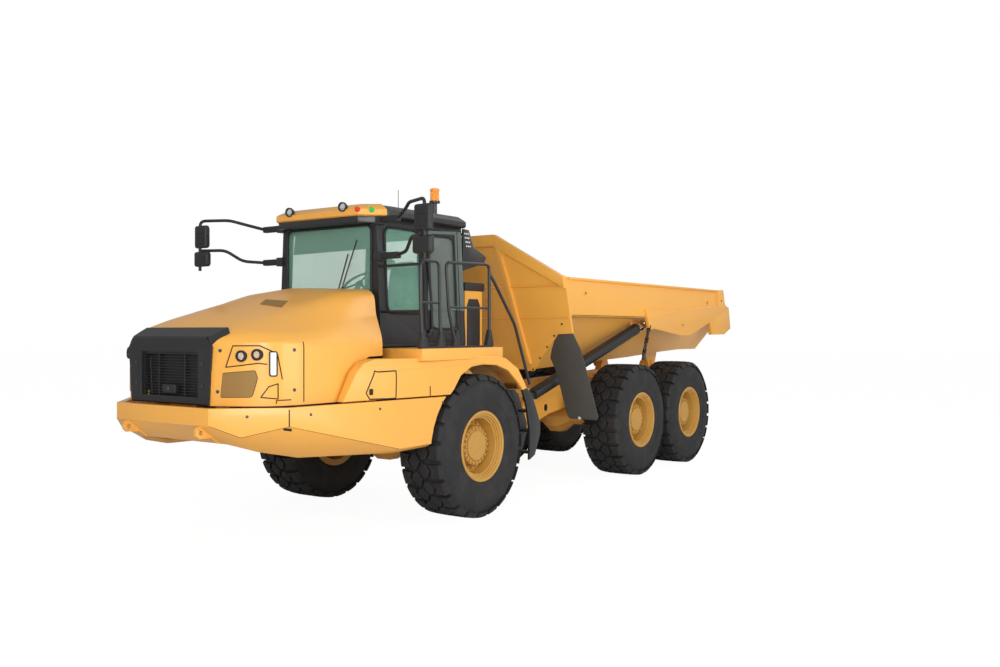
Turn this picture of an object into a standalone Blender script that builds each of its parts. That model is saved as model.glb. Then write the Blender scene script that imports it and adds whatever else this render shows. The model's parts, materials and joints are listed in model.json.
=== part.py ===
"""Articulated six-wheel dump truck: tractor with a cab, a hitch, a rear frame and a tipping body.

Metres, +Z up, -Y forward, +X to the vehicle's left. The ground is z = 0. Lengths along Y are
measured from the front axle, and one empty at the end moves the whole truck so that its
box is centred on the origin.
"""

import math

import bmesh
import bpy
from mathutils import Matrix, Vector

# Gap between touching pieces
GAP = 0.0003

# Facets round a bar, round a turned or bored piece and round a wheel rim
BAR_SIDES = 6
ROUND_SIDES = 10
RIM_SIDES = 12

# Whole truck, along Y from the front axle
TOW_Y = -3.20
TAIL_Y = 7.357
BUMPER_Y = -3.17
HITCH_Y = 1.20
MID_AXLE_Y = 3.918
AXLE_SPACING = 1.665
HALF_TRACK = 1.15

# Tyre and rim
TYRE_R = 0.808
TYRE_HALF = 0.2985
WALL_R = 0.60
TREAD_HALF = 0.262
CENTRE_HALF = 0.12
BEAD_R = 0.355
BEAD_HALF = 0.255
LUG_DEPTH = 0.048
LUGS = 24
LUG_SHARE = 0.62
FLANGE_R = 0.40
FLANGE_WALL = 0.032
HUB_R = 0.205
HUB_OUT = 0.20
WEB_OUT = 0.03
STUB_R = 0.10
STUB_BORE = 0.106
BEAM_INSET = 0.55
BEAM_WALL = 0.10

# Axles and frames
AXLE_TUBE_R = 0.13
DIFF_R = 0.26
RAIL_IN = 0.28
RAIL_WALL = 0.08
RAIL_TOP = 1.30
RAIL_BOTTOM = 1.00
EAR_WALL = 0.08
EAR_R = 0.20
EAR_LOW = 0.72
HITCH_PIN_R = 0.06
HITCH_BORE = 0.068
HITCH_BARREL_R = 0.14
ROLL_Z = 1.01
ROLL_R = 0.13
ROLL_BORE = 0.138
ROLL_FACE_Y = 1.45
REAR_RAIL_OUT = 0.46
REAR_RAIL_WALL = 0.10
BODY_PIN_Y = 6.05
BODY_PIN_Z = 1.56
BODY_PIN_R = 0.05
LUG_WALL = 0.07

# Hoist and steering cylinders
HOIST_BASE = (0.74, 1.95, 1.22)
HOIST_EYE = (1.27, 4.21, 2.19)
HOIST_AXIS = (0.818, -0.378, 0.433)
HOIST_STROKE = 2.20
HOIST_R = 0.082
HOIST_ROD_R = 0.045
HOIST_EYE_R = 0.07
HOIST_EYE_HALF = 0.045
STEER_BASE = (0.54, -0.30)
STEER_EYE = (0.42, 1.25)
STEER_Z = 1.10
STEER_STROKE = 0.31
STEER_R = 0.05
STEER_ROD_R = 0.028
STEER_EYE_R = 0.055

# Dump body
BODY_HALF = 1.38
BODY_WALL = 0.03
FOLD_Z = 2.30
SIDE_TOP = 2.80
SOFFIT_X = 1.16
FRONT_TOP_Z = 3.38
HEAD_HALF = 0.40
FRONT_LEAN = 0.27
FRONT_Y = 1.96
GUSSET_WALL = 0.04

# Cab, hood and fenders
CAB_HALF = 0.80
CAB_TOP_HALF = 0.73
CAB_FLOOR = 1.93
CAB_TOP = 3.34
CAB_FRONT = -1.00
CAB_REAR = 0.50
CAB_WALL = 0.05
FLOOR_WALL = 0.03
GLASS = 0.012
FENDER_OUT = 1.44
FENDER_HEEL = ((0.88, 1.417), (0.79, 1.40))
ARCH_R = 0.90
LADDER_X = (1.20, 1.43)
LADDER_WALL = 0.03
FENDER_IN = 0.86
DECK_Z = 1.92
DOOR_FRONT = -0.20
HOOD_HINGE = (-2.95, 1.50)
HOOD_EAR_OUT = 0.44
HOOD_PIN_R = 0.014
GRAB_X = 1.38
LAMP_R = 0.045
LAMP_SIDES = 8


def finish(name, colour, roughness, metallic=0.0, alpha=1.0):
    """A Principled material with the photographed colour."""
    material = bpy.data.materials.new(name)
    material.use_nodes = True
    shader = material.node_tree.nodes["Principled BSDF"]
    shader.inputs["Base Color"].default_value = (*colour, 1.0)
    shader.inputs["Roughness"].default_value = roughness
    shader.inputs["Metallic"].default_value = metallic
    shader.inputs["Alpha"].default_value = alpha
    material.diffuse_color = (*colour, alpha)
    return material


def faces_of(bm):
    bmesh.ops.recalc_face_normals(bm, faces=bm.faces)
    return bm


def loft(rings, closed=False):
    """Joins rings of as many points each, and caps the two ends unless the loft closes on itself."""
    bm = bmesh.new()
    rows = [[bm.verts.new(point) for point in ring] for ring in rings]
    count = len(rows[0])
    pairs = list(zip(rows, rows[1:]))
    if closed:
        pairs.append((rows[-1], rows[0]))
    for one, two in pairs:
        for i in range(count):
            j = (i + 1) % count
            bm.faces.new((one[i], one[j], two[j], two[i]))
    if not closed:
        bm.faces.new(rows[0][::-1])
        bm.faces.new(rows[-1])
    return faces_of(bm)


def plate(outline, axis, low, high):
    """A flat outline pushed from low to high along X, Y or Z."""
    place = {
        "X": lambda a, b, c: (c, a, b),
        "Y": lambda a, b, c: (a, c, b),
        "Z": lambda a, b, c: (a, b, c),
    }[axis]
    return loft([[place(a, b, c) for a, b in outline] for c in (low, high)])


def box(x, y, z):
    return plate(((x[0], y[0]), (x[1], y[0]), (x[1], y[1]), (x[0], y[1])), "Z", *z)


def turned(profile, centre, axis="X", steps=ROUND_SIDES):
    """A closed solid turned round an axis from (radius, offset) points; a radius of 0 is on the axis."""
    bm = bmesh.new()
    along = {"X": Vector((1, 0, 0)), "Y": Vector((0, 1, 0)), "Z": Vector((0, 0, 1))}[axis]
    side = {"X": Vector((0, 1, 0)), "Y": Vector((0, 0, 1)), "Z": Vector((1, 0, 0))}[axis]
    across = along.cross(side)
    rings = []
    for radius, offset in profile:
        if radius == 0:
            rings.append([bm.verts.new(Vector(centre) + along * offset)])
            continue
        ring = []
        for i in range(steps):
            angle = math.tau * i / steps
            spoke = side * math.cos(angle) + across * math.sin(angle)
            ring.append(bm.verts.new(Vector(centre) + along * offset + spoke * radius))
        rings.append(ring)
    ends = list(zip(rings, rings[1:]))
    if len(rings[0]) > 1:
        ends.append((rings[-1], rings[0]))
    for one, two in ends:
        for i in range(steps):
            j = (i + 1) % steps
            if len(one) == 1:
                bm.faces.new((one[0], two[i], two[j]))
            elif len(two) == 1:
                bm.faces.new((one[i], one[j], two[0]))
            else:
                bm.faces.new((one[i], one[j], two[j], two[i]))
    return faces_of(bm)


def tube(points, radius, sides=BAR_SIDES):
    """A round bar along straight runs, mitred where they meet."""
    points = [Vector(p) for p in points]
    runs = [(b - a).normalized() for a, b in zip(points, points[1:])]
    up = Vector((0, 0, 1)) if abs(runs[0].z) < 0.9 else Vector((0, 1, 0))
    side = runs[0].cross(up).normalized()
    rings = []
    for k, point in enumerate(points):
        before = runs[max(k - 1, 0)]
        after = runs[min(k, len(runs) - 1)]
        if k:
            side = (side - side.dot(before) * before).normalized()
        normal = (before + after).normalized()
        over = before.cross(side)
        ring = []
        for i in range(sides):
            angle = math.tau * (i + 0.5) / sides
            spoke = (side * math.cos(angle) + over * math.sin(angle)) * radius
            spoke -= before * (spoke.dot(normal) / before.dot(normal))
            ring.append(point + spoke)
        rings.append(ring)
        if 0 < k < len(points) - 1:
            side = (side - side.dot(normal) * normal).normalized()
            side = (side - side.dot(after) * after).normalized()
    return loft(rings)


def cylinder(centre, radius, half, axis="X", steps=ROUND_SIDES):
    return turned(((0, -half), (radius, -half), (radius, half), (0, half)), centre, axis, steps)


def mirrored(bm):
    """A copy on the vehicle's other side."""
    copy = bm.copy()
    bmesh.ops.transform(copy, matrix=Matrix.Scale(-1, 4, (1, 0, 0)), verts=copy.verts)
    bmesh.ops.reverse_faces(copy, faces=copy.faces)
    return copy


def both_sides(bm):
    return [bm, mirrored(bm)]


def helper(bm):
    mesh = bpy.data.meshes.new("helper")
    bm.to_mesh(mesh)
    bm.free()
    obj = bpy.data.objects.new("helper", mesh)
    bpy.context.collection.objects.link(obj)
    obj.hide_render = True
    obj.display_type = "WIRE"
    return obj


def part(name, pieces, material, origin=(0, 0, 0), parent=None, cuts=(), smooth=30):
    """One closed solid: the pieces joined, less the cuts, with its origin where it turns or slides."""
    base, *others = [helper(bm) for bm in pieces]
    cutters = [helper(bm) for bm in cuts]
    for operation, group in (("UNION", others), ("DIFFERENCE", cutters)):
        for other in group:
            modifier = base.modifiers.new(operation, "BOOLEAN")
            modifier.operation = operation
            modifier.solver = "EXACT"
            modifier.object = other
    graph = bpy.context.evaluated_depsgraph_get()
    mesh = bpy.data.meshes.new_from_object(base.evaluated_get(graph))
    for other in (base, *others, *cutters):
        bpy.data.objects.remove(other)
    mesh.name = name
    mesh.materials.clear()
    mesh.materials.append(material)
    mesh.transform(Matrix.Translation(-Vector(origin)))
    mesh.shade_smooth()
    mesh.set_sharp_from_angle(angle=math.radians(smooth))
    return placed(name, mesh, origin, parent)


def placed(name, mesh, origin, parent):
    obj = bpy.data.objects.new(name, mesh)
    bpy.context.collection.objects.link(obj)
    obj.parent = parent
    obj.location = Vector(origin)
    return obj


def tyre_mesh(material):
    """A ring whose shoulder is cut into staggered lugs between a whole centre band and the walls.

    Each side has its own angles, half a pitch apart, so that a lug on one side faces a gap
    on the other.
    """
    bm = bmesh.new()
    pitch = math.tau / LUGS
    share = LUG_SHARE * pitch
    sides = ((1, 0.0, share), (-1, share - pitch / 2, pitch / 2))
    rows = {}
    for side, first, second in sides:
        lug_starts = side == 1
        stations = []
        for i in range(LUGS):
            stations += [i * pitch + first, i * pitch + second]

        def ring(radius, x):
            return [
                bm.verts.new((x * side, radius * math.cos(a), radius * math.sin(a))) for a in stations
            ]

        bead = ring(BEAD_R, BEAD_HALF)
        wall = ring(WALL_R, TYRE_HALF)
        high = ring(TYRE_R - 0.008, TREAD_HALF)
        low = ring(TYRE_R - LUG_DEPTH - 0.012, TREAD_HALF)
        centre = ring(TYRE_R, CENTRE_HALF)
        count = len(stations)
        for i in range(count):
            j = (i + 1) % count
            edge = high if (i % 2 == 0) == lug_starts else low
            bm.faces.new((bead[i], bead[j], wall[j], wall[i]))
            bm.faces.new((wall[i], wall[j], edge[j], edge[i]))
            bm.faces.new((edge[i], edge[j], centre[j], centre[i]))
            bm.faces.new((wall[i], high[i], low[i]))
            bm.faces.new((centre[i], high[i], low[i]))
        rows[side] = (bead, centre)
    for k in (0, 1):
        one, two = rows[1][k], rows[-1][k]
        for i in range(len(one)):
            j = (i + 1) % len(one)
            bm.faces.new((one[i], one[j], two[j], two[i]))
    bmesh.ops.triangulate(bm, faces=bm.faces)
    faces_of(bm)
    mesh = bpy.data.meshes.new("tyre")
    bm.to_mesh(mesh)
    bm.free()
    mesh.materials.append(material)
    mesh.shade_smooth()
    mesh.set_sharp_from_angle(angle=math.radians(30))
    return mesh


def rim_mesh(material, side):
    """A dished disc rim with bead flanges, a planetary hub and a blind bore for the axle stub."""
    barrel = BEAD_R * math.cos(LUG_SHARE * math.pi / LUGS) - GAP
    flange = BEAD_HALF + GAP
    hook = flange + GAP + (FLANGE_R - BEAD_R) * (TYRE_HALF - BEAD_HALF) / (WALL_R - BEAD_R)
    outer = flange + FLANGE_WALL
    profile = (
        (0, HUB_OUT),
        (HUB_R - 0.015, HUB_OUT),
        (HUB_R, WEB_OUT + 0.05),
        (barrel - 0.020, WEB_OUT + 0.06),
        (barrel - 0.012, outer),
        (FLANGE_R, outer),
        (FLANGE_R, hook),
        (barrel, flange),
        (barrel, -flange),
        (FLANGE_R, -hook),
        (FLANGE_R, -outer),
        (barrel - 0.03, -outer),
        (barrel - 0.03, WEB_OUT),
        (STUB_BORE, WEB_OUT),
        (STUB_BORE, HUB_OUT - 0.06),
        (0, HUB_OUT - 0.06),
    )
    bm = turned([(r, x * side) for r, x in profile], (0, 0, 0), "X", RIM_SIDES)
    mesh = bpy.data.meshes.new("rim")
    bm.to_mesh(mesh)
    bm.free()
    mesh.materials.append(material)
    mesh.shade_smooth()
    mesh.set_sharp_from_angle(angle=math.radians(30))
    return mesh


def axle(name, y, material, parent, bosses=()):
    """A banjo housing with tubes, hub flanges and the stubs that carry the wheels."""
    tube_end = HALF_TRACK + WEB_OUT - GAP
    stub_end = HALF_TRACK + HUB_OUT - 0.07
    profile = [
        (0, -stub_end),
        (STUB_R, -stub_end),
        (STUB_R, -tube_end),
        (0.15, -tube_end),
        (0.15, -tube_end + 0.12),
        (AXLE_TUBE_R, -tube_end + 0.14),
        (AXLE_TUBE_R, -RAIL_IN + 0.01),
        (DIFF_R, -0.10),
    ]
    profile += [(r, -x) for r, x in reversed(profile)]
    housing = turned(profile, (0, y, TYRE_R))
    return part(name, [housing, *bosses], material, (0, y, TYRE_R), parent)


def tractor(truck, paint):
    """The front frame with the hitch ears, its axle, engine, front skirt and fenders."""
    rail_out = RAIL_IN + RAIL_WALL
    ears = [(-rail_out, 0.64), (rail_out, 0.64)]
    ears += [
        (EAR_R * math.cos(math.radians(15 * k)), HITCH_Y + EAR_R * math.sin(math.radians(15 * k)))
        for k in range(10)
    ]
    rail = (
        (-2.86, RAIL_BOTTOM + 0.06),
        (-2.6, RAIL_BOTTOM),
        (0.78, RAIL_BOTTOM),
        (0.78, RAIL_TOP),
        (-2.86, RAIL_TOP),
    )
    cross = rail_out - 0.01
    steer_x, steer_y = STEER_BASE
    hinge_y, hinge_z = HOOD_HINGE
    bracket = (
        (hinge_y - 0.025, hinge_z + 0.02),
        (hinge_y - 0.025, hinge_z - 0.02),
        (hinge_y + 0.01, hinge_z - 0.04),
        (hinge_y + 0.08, hinge_z - 0.14),
        (hinge_y + 0.10, RAIL_TOP - 0.03),
        (hinge_y + 0.20, RAIL_TOP - 0.03),
        (hinge_y + 0.20, hinge_z - 0.10),
        (hinge_y + 0.05, hinge_z + 0.04),
        (hinge_y, hinge_z + 0.035),
    )
    bracket_in = HOOD_EAR_OUT + GAP
    part(
        "front_frame",
        [
            *both_sides(plate(rail, "X", RAIL_IN, rail_out)),
            box(
                (-bracket_in - 0.02, bracket_in + 0.02),
                (-2.85, -2.75),
                (RAIL_BOTTOM + 0.08, RAIL_TOP - 0.02),
            ),
            *both_sides(plate(bracket, "X", bracket_in, bracket_in + 0.03)),
            *both_sides(
                cylinder((bracket_in - 0.018, hinge_y, hinge_z), HOOD_PIN_R, 0.02)
            ),
            box((-cross, cross), (0.66, 0.77), (EAR_LOW + 0.01, RAIL_TOP - 0.01)),
            plate(ears, "Z", RAIL_TOP - EAR_WALL, RAIL_TOP + 0.01),
            plate(ears, "Z", EAR_LOW, EAR_LOW + EAR_WALL),
            cylinder((0, HITCH_Y, (EAR_LOW + RAIL_TOP) / 2), HITCH_PIN_R, 0.27, "Z"),
            *both_sides(
                box(
                    (RAIL_IN + 0.02, steer_x + 0.07),
                    (steer_y - 0.06, steer_y + 0.06),
                    (STEER_Z - 0.09, STEER_Z - STEER_R - GAP),
                )
            ),
            *both_sides(
                box(
                    (RAIL_IN + 0.01, RAIL_IN + 0.07),
                    (-0.16, 0.16),
                    (TYRE_R + 0.02, RAIL_BOTTOM + 0.02),
                )
            ),
            *both_sides(
                box((RAIL_IN + 0.03, FENDER_IN - GAP), (-1.30, -1.20), (RAIL_TOP - 0.1, RAIL_TOP - 0.03))
            ),
        ],
        paint["yellow"],
        parent=truck,
        cuts=[cylinder((0, 0, TYRE_R), AXLE_TUBE_R + GAP, 0.9)],
    )
    axle("front_axle", 0, paint["yellow"], truck)
    part(
        "engine",
        [box((-0.36, 0.36), (-2.50, -1.15), (RAIL_TOP + GAP, 2.02))],
        paint["steel"],
        parent=truck,
    )

    # upper edge, crease and lower edge of the outer face, then the two inner edges, from the rear forwards
    skirt_rows = (
        ((1.44, -0.58, 1.405), (1.44, -0.58, 0.93), (1.38, -0.58, 0.90),
         (1.34, -0.58, 0.94), (1.39, -0.58, 1.405)),
        ((1.36, -1.35, 1.405), (1.36, -1.35, 0.91), (1.26, -1.35, 0.86),
         (1.22, -1.35, 0.90), (1.31, -1.35, 1.405)),
        ((1.22, -2.69, 1.405), (1.22, -2.69, 1.23), (1.00, -2.38, 0.905),
         (0.96, -2.40, 0.95), (1.165, -2.665, 1.405)),
        ((0.91, -2.976, 1.405), (0.91, -2.976, 1.14), (0.86, -2.74, 0.985),
         (0.82, -2.72, 1.03), (0.87, -2.93, 1.405)),
        ((0.70, BUMPER_Y, 1.405), (0.70, BUMPER_Y, 1.245), (0.66, -2.93, 1.06),
         (0.63, -2.89, 1.10), (0.67, -3.11, 1.405)),
    )
    skirt = [list(row) for row in skirt_rows]
    skirt += [[(-x, y, z) for x, y, z in row] for row in reversed(skirt_rows)]
    tow = (
        (TOW_Y, 1.20), (TOW_Y, 1.16), (-3.165, 1.125), (-3.03, 1.12), (-2.96, 1.065), (-2.86, 1.055),
        (-2.69, 1.085), (-2.75, 1.16), (-3.13, 1.24), (-3.18, 1.235),
    )
    front = ((-0.64, -2.93), (0.64, -2.93), (0.64, -2.8603), (-0.64, -2.8603))
    part(
        "front_bumper",
        [
            loft(skirt),
            plate(front, "Z", 1.09, 1.27),
            *both_sides(plate(tow, "X", 0.53, 0.57)),
        ],
        paint["yellow"],
        parent=truck,
        cuts=[
            cylinder((0, 0, TYRE_R), ARCH_R, 2.0, "X", 40),
            cylinder((0, -3.145, 1.178), 0.024, 0.62, "X", 8),
        ],
    )

    fender = (
        (-2.06, 1.42), (-1.90, 1.70), (-1.80, 1.79), (-1.66, 1.825), (0.22, 1.82), (0.43, 1.79), (0.69, 1.66),
        *FENDER_HEEL,
        (0.70, 1.49), (0.48, 1.645), (0.25, 1.713), (-0.02, 1.726), (-0.224, 1.707),
        (-0.418, 1.617), (-0.543, 1.468), (-0.60, 1.42),
    )
    taper = 0.104
    outer = [(FENDER_OUT + taper * min(y + 0.58, 0), y, z) for y, z in fender]
    for name, sign in (("fender_left", 1), ("fender_right", -1)):
        pieces = [
            loft([[(FENDER_IN, y, z) for y, z in fender], outer]),
            box((FENDER_IN, FENDER_IN + 0.05), (-1.30, -1.20), (1.15, 1.50)),
            box((FENDER_IN - 0.04, FENDER_OUT - 0.02), (-1.05, 0.40), (1.80, DECK_Z)),
        ]
        if sign < 0:
            pieces = [mirrored(bm) for bm in pieces]
        part(name, pieces, paint["yellow"], parent=truck)


def cab_half(z):
    """Half the cab's width at a height: its side walls lean inwards."""
    return CAB_HALF - (CAB_HALF - CAB_TOP_HALF) * (z - CAB_FLOOR) / (CAB_TOP - CAB_FLOOR)


def cab_block(inset, low, high):
    rings = []
    for z in (low, high):
        half = cab_half(z) - inset
        front, rear = CAB_FRONT + inset, CAB_REAR - inset
        rings.append([(-half, front, z), (half, front, z), (half, rear, z), (-half, rear, z)])
    return loft(rings)


def wall_panel(sign, along, up, outset, thick):
    """A panel in the cab's leaning side wall, its outer face outset from the wall's."""
    rings = []
    for z in up:
        outer = sign * (cab_half(z) + outset)
        inner = sign * (cab_half(z) + outset - thick)
        front, rear = along
        rings.append([(inner, front, z), (outer, front, z), (outer, rear, z), (inner, rear, z)])
    return loft(rings)


def shrink(span, by):
    return (span[0] + by, span[1] - by)


def cab(truck, paint):
    """A hollow cab with cut windows, its roof, glass, seat and controls, and the left door."""
    reach = (0.5, 1.0)
    other = (-1.0, -0.5)
    rear_post = 0.08
    side_z = (2.30, CAB_TOP - 0.10)
    front_side = (CAB_FRONT + 0.12, DOOR_FRONT - 0.09)
    whole_side = (CAB_FRONT + 0.12, CAB_REAR - rear_post)
    screen_half, back_half = CAB_TOP_HALF - 0.07, CAB_TOP_HALF - 0.11
    screen_x, screen_z = (-screen_half, screen_half), (2.32, CAB_TOP - 0.08)
    back_x, back_z = (-back_half, back_half), (2.30, CAB_TOP - 0.10)
    door_y, door_z = (DOOR_FRONT, CAB_REAR - rear_post), (CAB_FLOOR + 0.05, CAB_TOP - 0.06)
    hinge_x, hinge_y = CAB_HALF + 0.03, DOOR_FRONT - 0.01
    knuckles = (2.08, 3.02)
    visor = (
        (-0.62, -1.17), (0.62, -1.17), (0.80, -0.96), (0.80, -0.86), (-0.80, -0.86), (-0.80, -0.96),
    )
    floor = CAB_FLOOR + FLOOR_WALL + GAP
    part(
        "cab_floor",
        [
            cab_block(0, CAB_FLOOR, CAB_FLOOR + FLOOR_WALL),
            *both_sides(box((0.30, 0.345), (-0.75, 0.35), (RAIL_TOP + GAP, CAB_FLOOR + 0.02))),
        ],
        paint["black"],
        parent=truck,
    )
    guard_y = CAB_REAR + GAP
    guard = ((guard_y, 3.30), (0.62, 3.33), (0.70, 3.13), (0.98, 3.01), (0.92, 2.93), (guard_y, 2.84))
    part(
        "cab_rear_guard",
        [
            *both_sides(plate(guard, "X", screen_half, screen_half + 0.04)),
            box((-screen_half - 0.02, screen_half + 0.02), (0.86, 0.92), (2.95, 3.01)),
        ],
        paint["black"],
        parent=truck,
    )
    part(
        "cab_shell",
        [
            cab_block(0, floor, CAB_TOP),
            plate(visor, "Z", 3.27, CAB_TOP),
            *both_sides(box((CAB_TOP_HALF - 0.03, 0.81), (-1.03, -0.93), (3.25, 3.335))),
            *both_sides(box((CAB_TOP_HALF - 0.01, 0.82), (-1.03, -0.93), (2.86, 2.96))),
            *[
                box((CAB_TOP_HALF - 0.02, hinge_x + 0.015), (hinge_y - 0.05, hinge_y + 0.010), (z - 0.04, z))
                for z in knuckles
            ],
        ],
        paint["black"],
        parent=truck,
        cuts=[
            cab_block(CAB_WALL, CAB_FLOOR - 0.02, CAB_TOP + 0.02),
            box(screen_x, (CAB_FRONT - 0.2, CAB_FRONT + 0.2), screen_z),
            box(back_x, (CAB_REAR - 0.1, CAB_REAR + 0.2), back_z),
            box(reach, front_side, side_z),
            box(reach, door_y, door_z),
            box(other, whole_side, side_z),
        ],
    )
    roof = ((-0.64, -1.19), (0.64, -1.19), (0.85, -0.93), (0.85, 0.52), (-0.85, 0.52), (-0.85, -0.93))
    crown = 0.9
    part(
        "cab_roof",
        [
            loft(
                [
                    [(x, y, CAB_TOP + GAP) for x, y in roof],
                    [(x, y, CAB_TOP + 0.09) for x, y in roof],
                    [(x * crown, y * crown, CAB_TOP + 0.14) for x, y in roof],
                ]
            ),
            *both_sides(cylinder((0.416, -1.20, 3.44), 0.05, 0.04, "Y", 12)),
        ],
        paint["yellow"],
        parent=truck,
    )
    middle = CAB_WALL / 2 - GLASS / 2
    screen_y = (CAB_FRONT + middle, CAB_FRONT + middle + GLASS)
    back_y = (CAB_REAR - middle - GLASS, CAB_REAR - middle)
    for name, bm in (
        ("windscreen", box(shrink(screen_x, GAP), screen_y, shrink(screen_z, GAP))),
        ("rear_window", box(shrink(back_x, GAP), back_y, shrink(back_z, GAP))),
        ("side_window_left", wall_panel(1, shrink(front_side, GAP), shrink(side_z, GAP), -middle, GLASS)),
        ("side_window_right", wall_panel(-1, shrink(whole_side, GAP), shrink(side_z, GAP), -middle, GLASS)),
    ):
        part(name, [bm], paint["glass"], parent=truck)

    leaf_y, leaf_z = shrink(door_y, 0.006), shrink(door_z, 0.006)
    pane_y, pane_z = shrink(leaf_y, 0.05), (2.12, leaf_z[1] - 0.05)
    hinge = (hinge_x, hinge_y, door_z[0])
    part(
        "cab_door",
        [
            wall_panel(1, leaf_y, leaf_z, 0, CAB_WALL),
            *[
                box(
                    (CAB_TOP_HALF - 0.02, hinge_x + 0.015),
                    (leaf_y[0] + 0.001, hinge_y + 0.06),
                    (z + GAP, z + 0.04),
                )
                for z in knuckles
            ],
            *[
                box(
                    (cab_half(z) + 0.005, hinge_x + 0.014),
                    (hinge_y - 0.014, hinge_y + 0.05),
                    (z + 2 * GAP, z + 0.039),
                )
                for z in knuckles
            ],
        ],
        paint["black"],
        hinge,
        truck,
        cuts=[box(reach, pane_y, pane_z)],
    )
    part(
        "door_glass",
        [wall_panel(1, shrink(pane_y, GAP), shrink(pane_z, GAP), -middle, GLASS)],
        paint["glass"],
        hinge,
        truck,
    )

    part(
        "operator_seat",
        [
            box((-0.20, 0.20), (-0.18, 0.22), (floor, 2.16)),
            box((-0.26, 0.26), (-0.26, 0.26), (2.14, 2.30)),
            plate(((0.16, 2.24), (0.28, 2.22), (0.38, 2.95), (0.30, 2.97)), "X", -0.24, 0.24),
            *both_sides(box((0.25, 0.32), (-0.20, 0.24), (2.40, 2.47))),
            *both_sides(box((0.20, 0.27), (0.17, 0.26), (2.24, 2.45))),
        ],
        paint["cloth"],
        parent=truck,
    )
    wheel = turned(
        [(0.20 + 0.015 * math.cos(a), 0.015 * math.sin(a)) for a in [math.tau * k / 5 for k in range(5)]],
        (0, 0, 0), "Z",
    )
    bmesh.ops.transform(
        wheel,
        matrix=Matrix.Translation((0, -0.46, 2.58)) @ Matrix.Rotation(math.radians(38), 4, "X"),
        verts=wheel.verts,
    )
    part(
        "steering_console",
        [
            plate(((-0.94, floor), (-0.70, floor), (-0.66, 2.28), (-0.94, 2.36)), "X", -0.30, 0.42),
            tube([(0, -0.78, 2.10), (0, -0.46, 2.575)], 0.03),
            box((-0.19, 0.19), (-0.475, -0.445), (2.565, 2.590)),
            wheel,
        ],
        paint["black"],
        parent=truck,
    )
    post = tube([(0.40, 0.40, 3.46), (0.40, 0.40, 3.68)], 0.02)
    part(
        "beacon",
        [cylinder((0.40, 0.40, 3.66 + 0.09), 0.07, 0.09, "Z", 12), post],
        paint["amber"],
        parent=truck,
        cuts=[box((0.2, 0.6), (0.2, 0.6), (3.3, CAB_TOP + 0.14 + GAP))],
    )
    for name, sign in (("mirror_left", 1), ("mirror_right", -1)):
        pieces = [
            box((0.81 + GAP, 1.07), (-1.03, -0.96), (3.26, 3.33)),
            box((0.82 + GAP, 1.07), (-1.03, -0.96), (2.87, 2.95)),
            tube(
                [(1.04, -1.0, 3.30), (1.30, -1.16, 3.38), (1.40, -1.24, 3.415), (1.74, -1.40, 3.415),
                 (1.74, -1.40, 2.80)],
                0.018,
            ),
            tube([(1.04, -1.0, 2.91), (1.28, -1.14, 2.93), (1.45, -1.26, 3.06), (1.74, -1.40, 3.06)], 0.018),
            box((1.60, 1.83), (-1.43, -1.34), (3.09, 3.36)),
            box((1.58, 1.84), (-1.43, -1.34), (2.87, 3.05)),
        ]
        if sign < 0:
            pieces = [mirrored(bm) for bm in pieces]
        part(name, pieces, paint["black"], parent=truck)

    posts = ((-1.03, -0.71), (-0.43, 0.18))
    rails = [box((GRAB_X - 0.03, GRAB_X + 0.018), (-1.04, 0.22), (DECK_Z + GAP, DECK_Z + 0.02))]
    for front, rear in posts:
        rails.append(
            tube([(GRAB_X, front, DECK_Z + 0.01), (GRAB_X, front, 2.84), (GRAB_X, rear, 2.86),
                  (GRAB_X, rear, DECK_Z + 0.01)], 0.018)
        )
        rails.append(tube([(GRAB_X, front, 2.40), (GRAB_X, rear, 2.40)], 0.015))
    rails.append(
        tube([(GRAB_X, 0.18, 2.76), (1.40, 0.22, 2.70), (1.405, 0.66, 2.18), (1.41, 0.97, 1.46)], 0.018)
    )
    part("handrails_left", rails, paint["black"], parent=truck)
    heel = [(y, z - GAP) for y, z in reversed(FENDER_HEEL)]
    stringer = (
        *heel, (1.00, 1.33), (1.18, 0.98), (1.18, 0.85), (1.06, 0.60), (0.94, 0.55), (0.95, 0.90), (0.88, 1.22),
    )
    ladder_in, ladder_out = LADDER_X
    # height, front and rear edge
    steps = ((0.62, 0.955, 1.06), (0.88, 0.96, 1.17), (1.12, 0.92, 1.10))
    part(
        "ladder_left",
        [
            plate(stringer, "X", ladder_in, ladder_in + LADDER_WALL),
            plate(stringer, "X", ladder_out - LADDER_WALL, ladder_out),
            *[
                box((ladder_in + 0.01, ladder_out - 0.01), (front, rear), (z, z + 0.03))
                for z, front, rear in steps
            ],
        ],
        paint["black"],
        parent=truck,
    )
    part(
        "intake_stack",
        [
            box((0.28, 0.62), (0.72, 1.08), (1.50, 2.62)),
            box((RAIL_IN, RAIL_IN + 0.07), (0.60, 0.76), (RAIL_TOP + GAP, 1.56)),
            box((0.26, 0.64), (0.70, 1.10), (2.61, 2.70)),
        ],
        paint["yellow"],
        parent=truck,
        cuts=[box((RAIL_IN - 0.1, RAIL_IN + 0.2), (0.5, 0.9), (1.2, RAIL_TOP + 0.01 + GAP))],
    )


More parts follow.
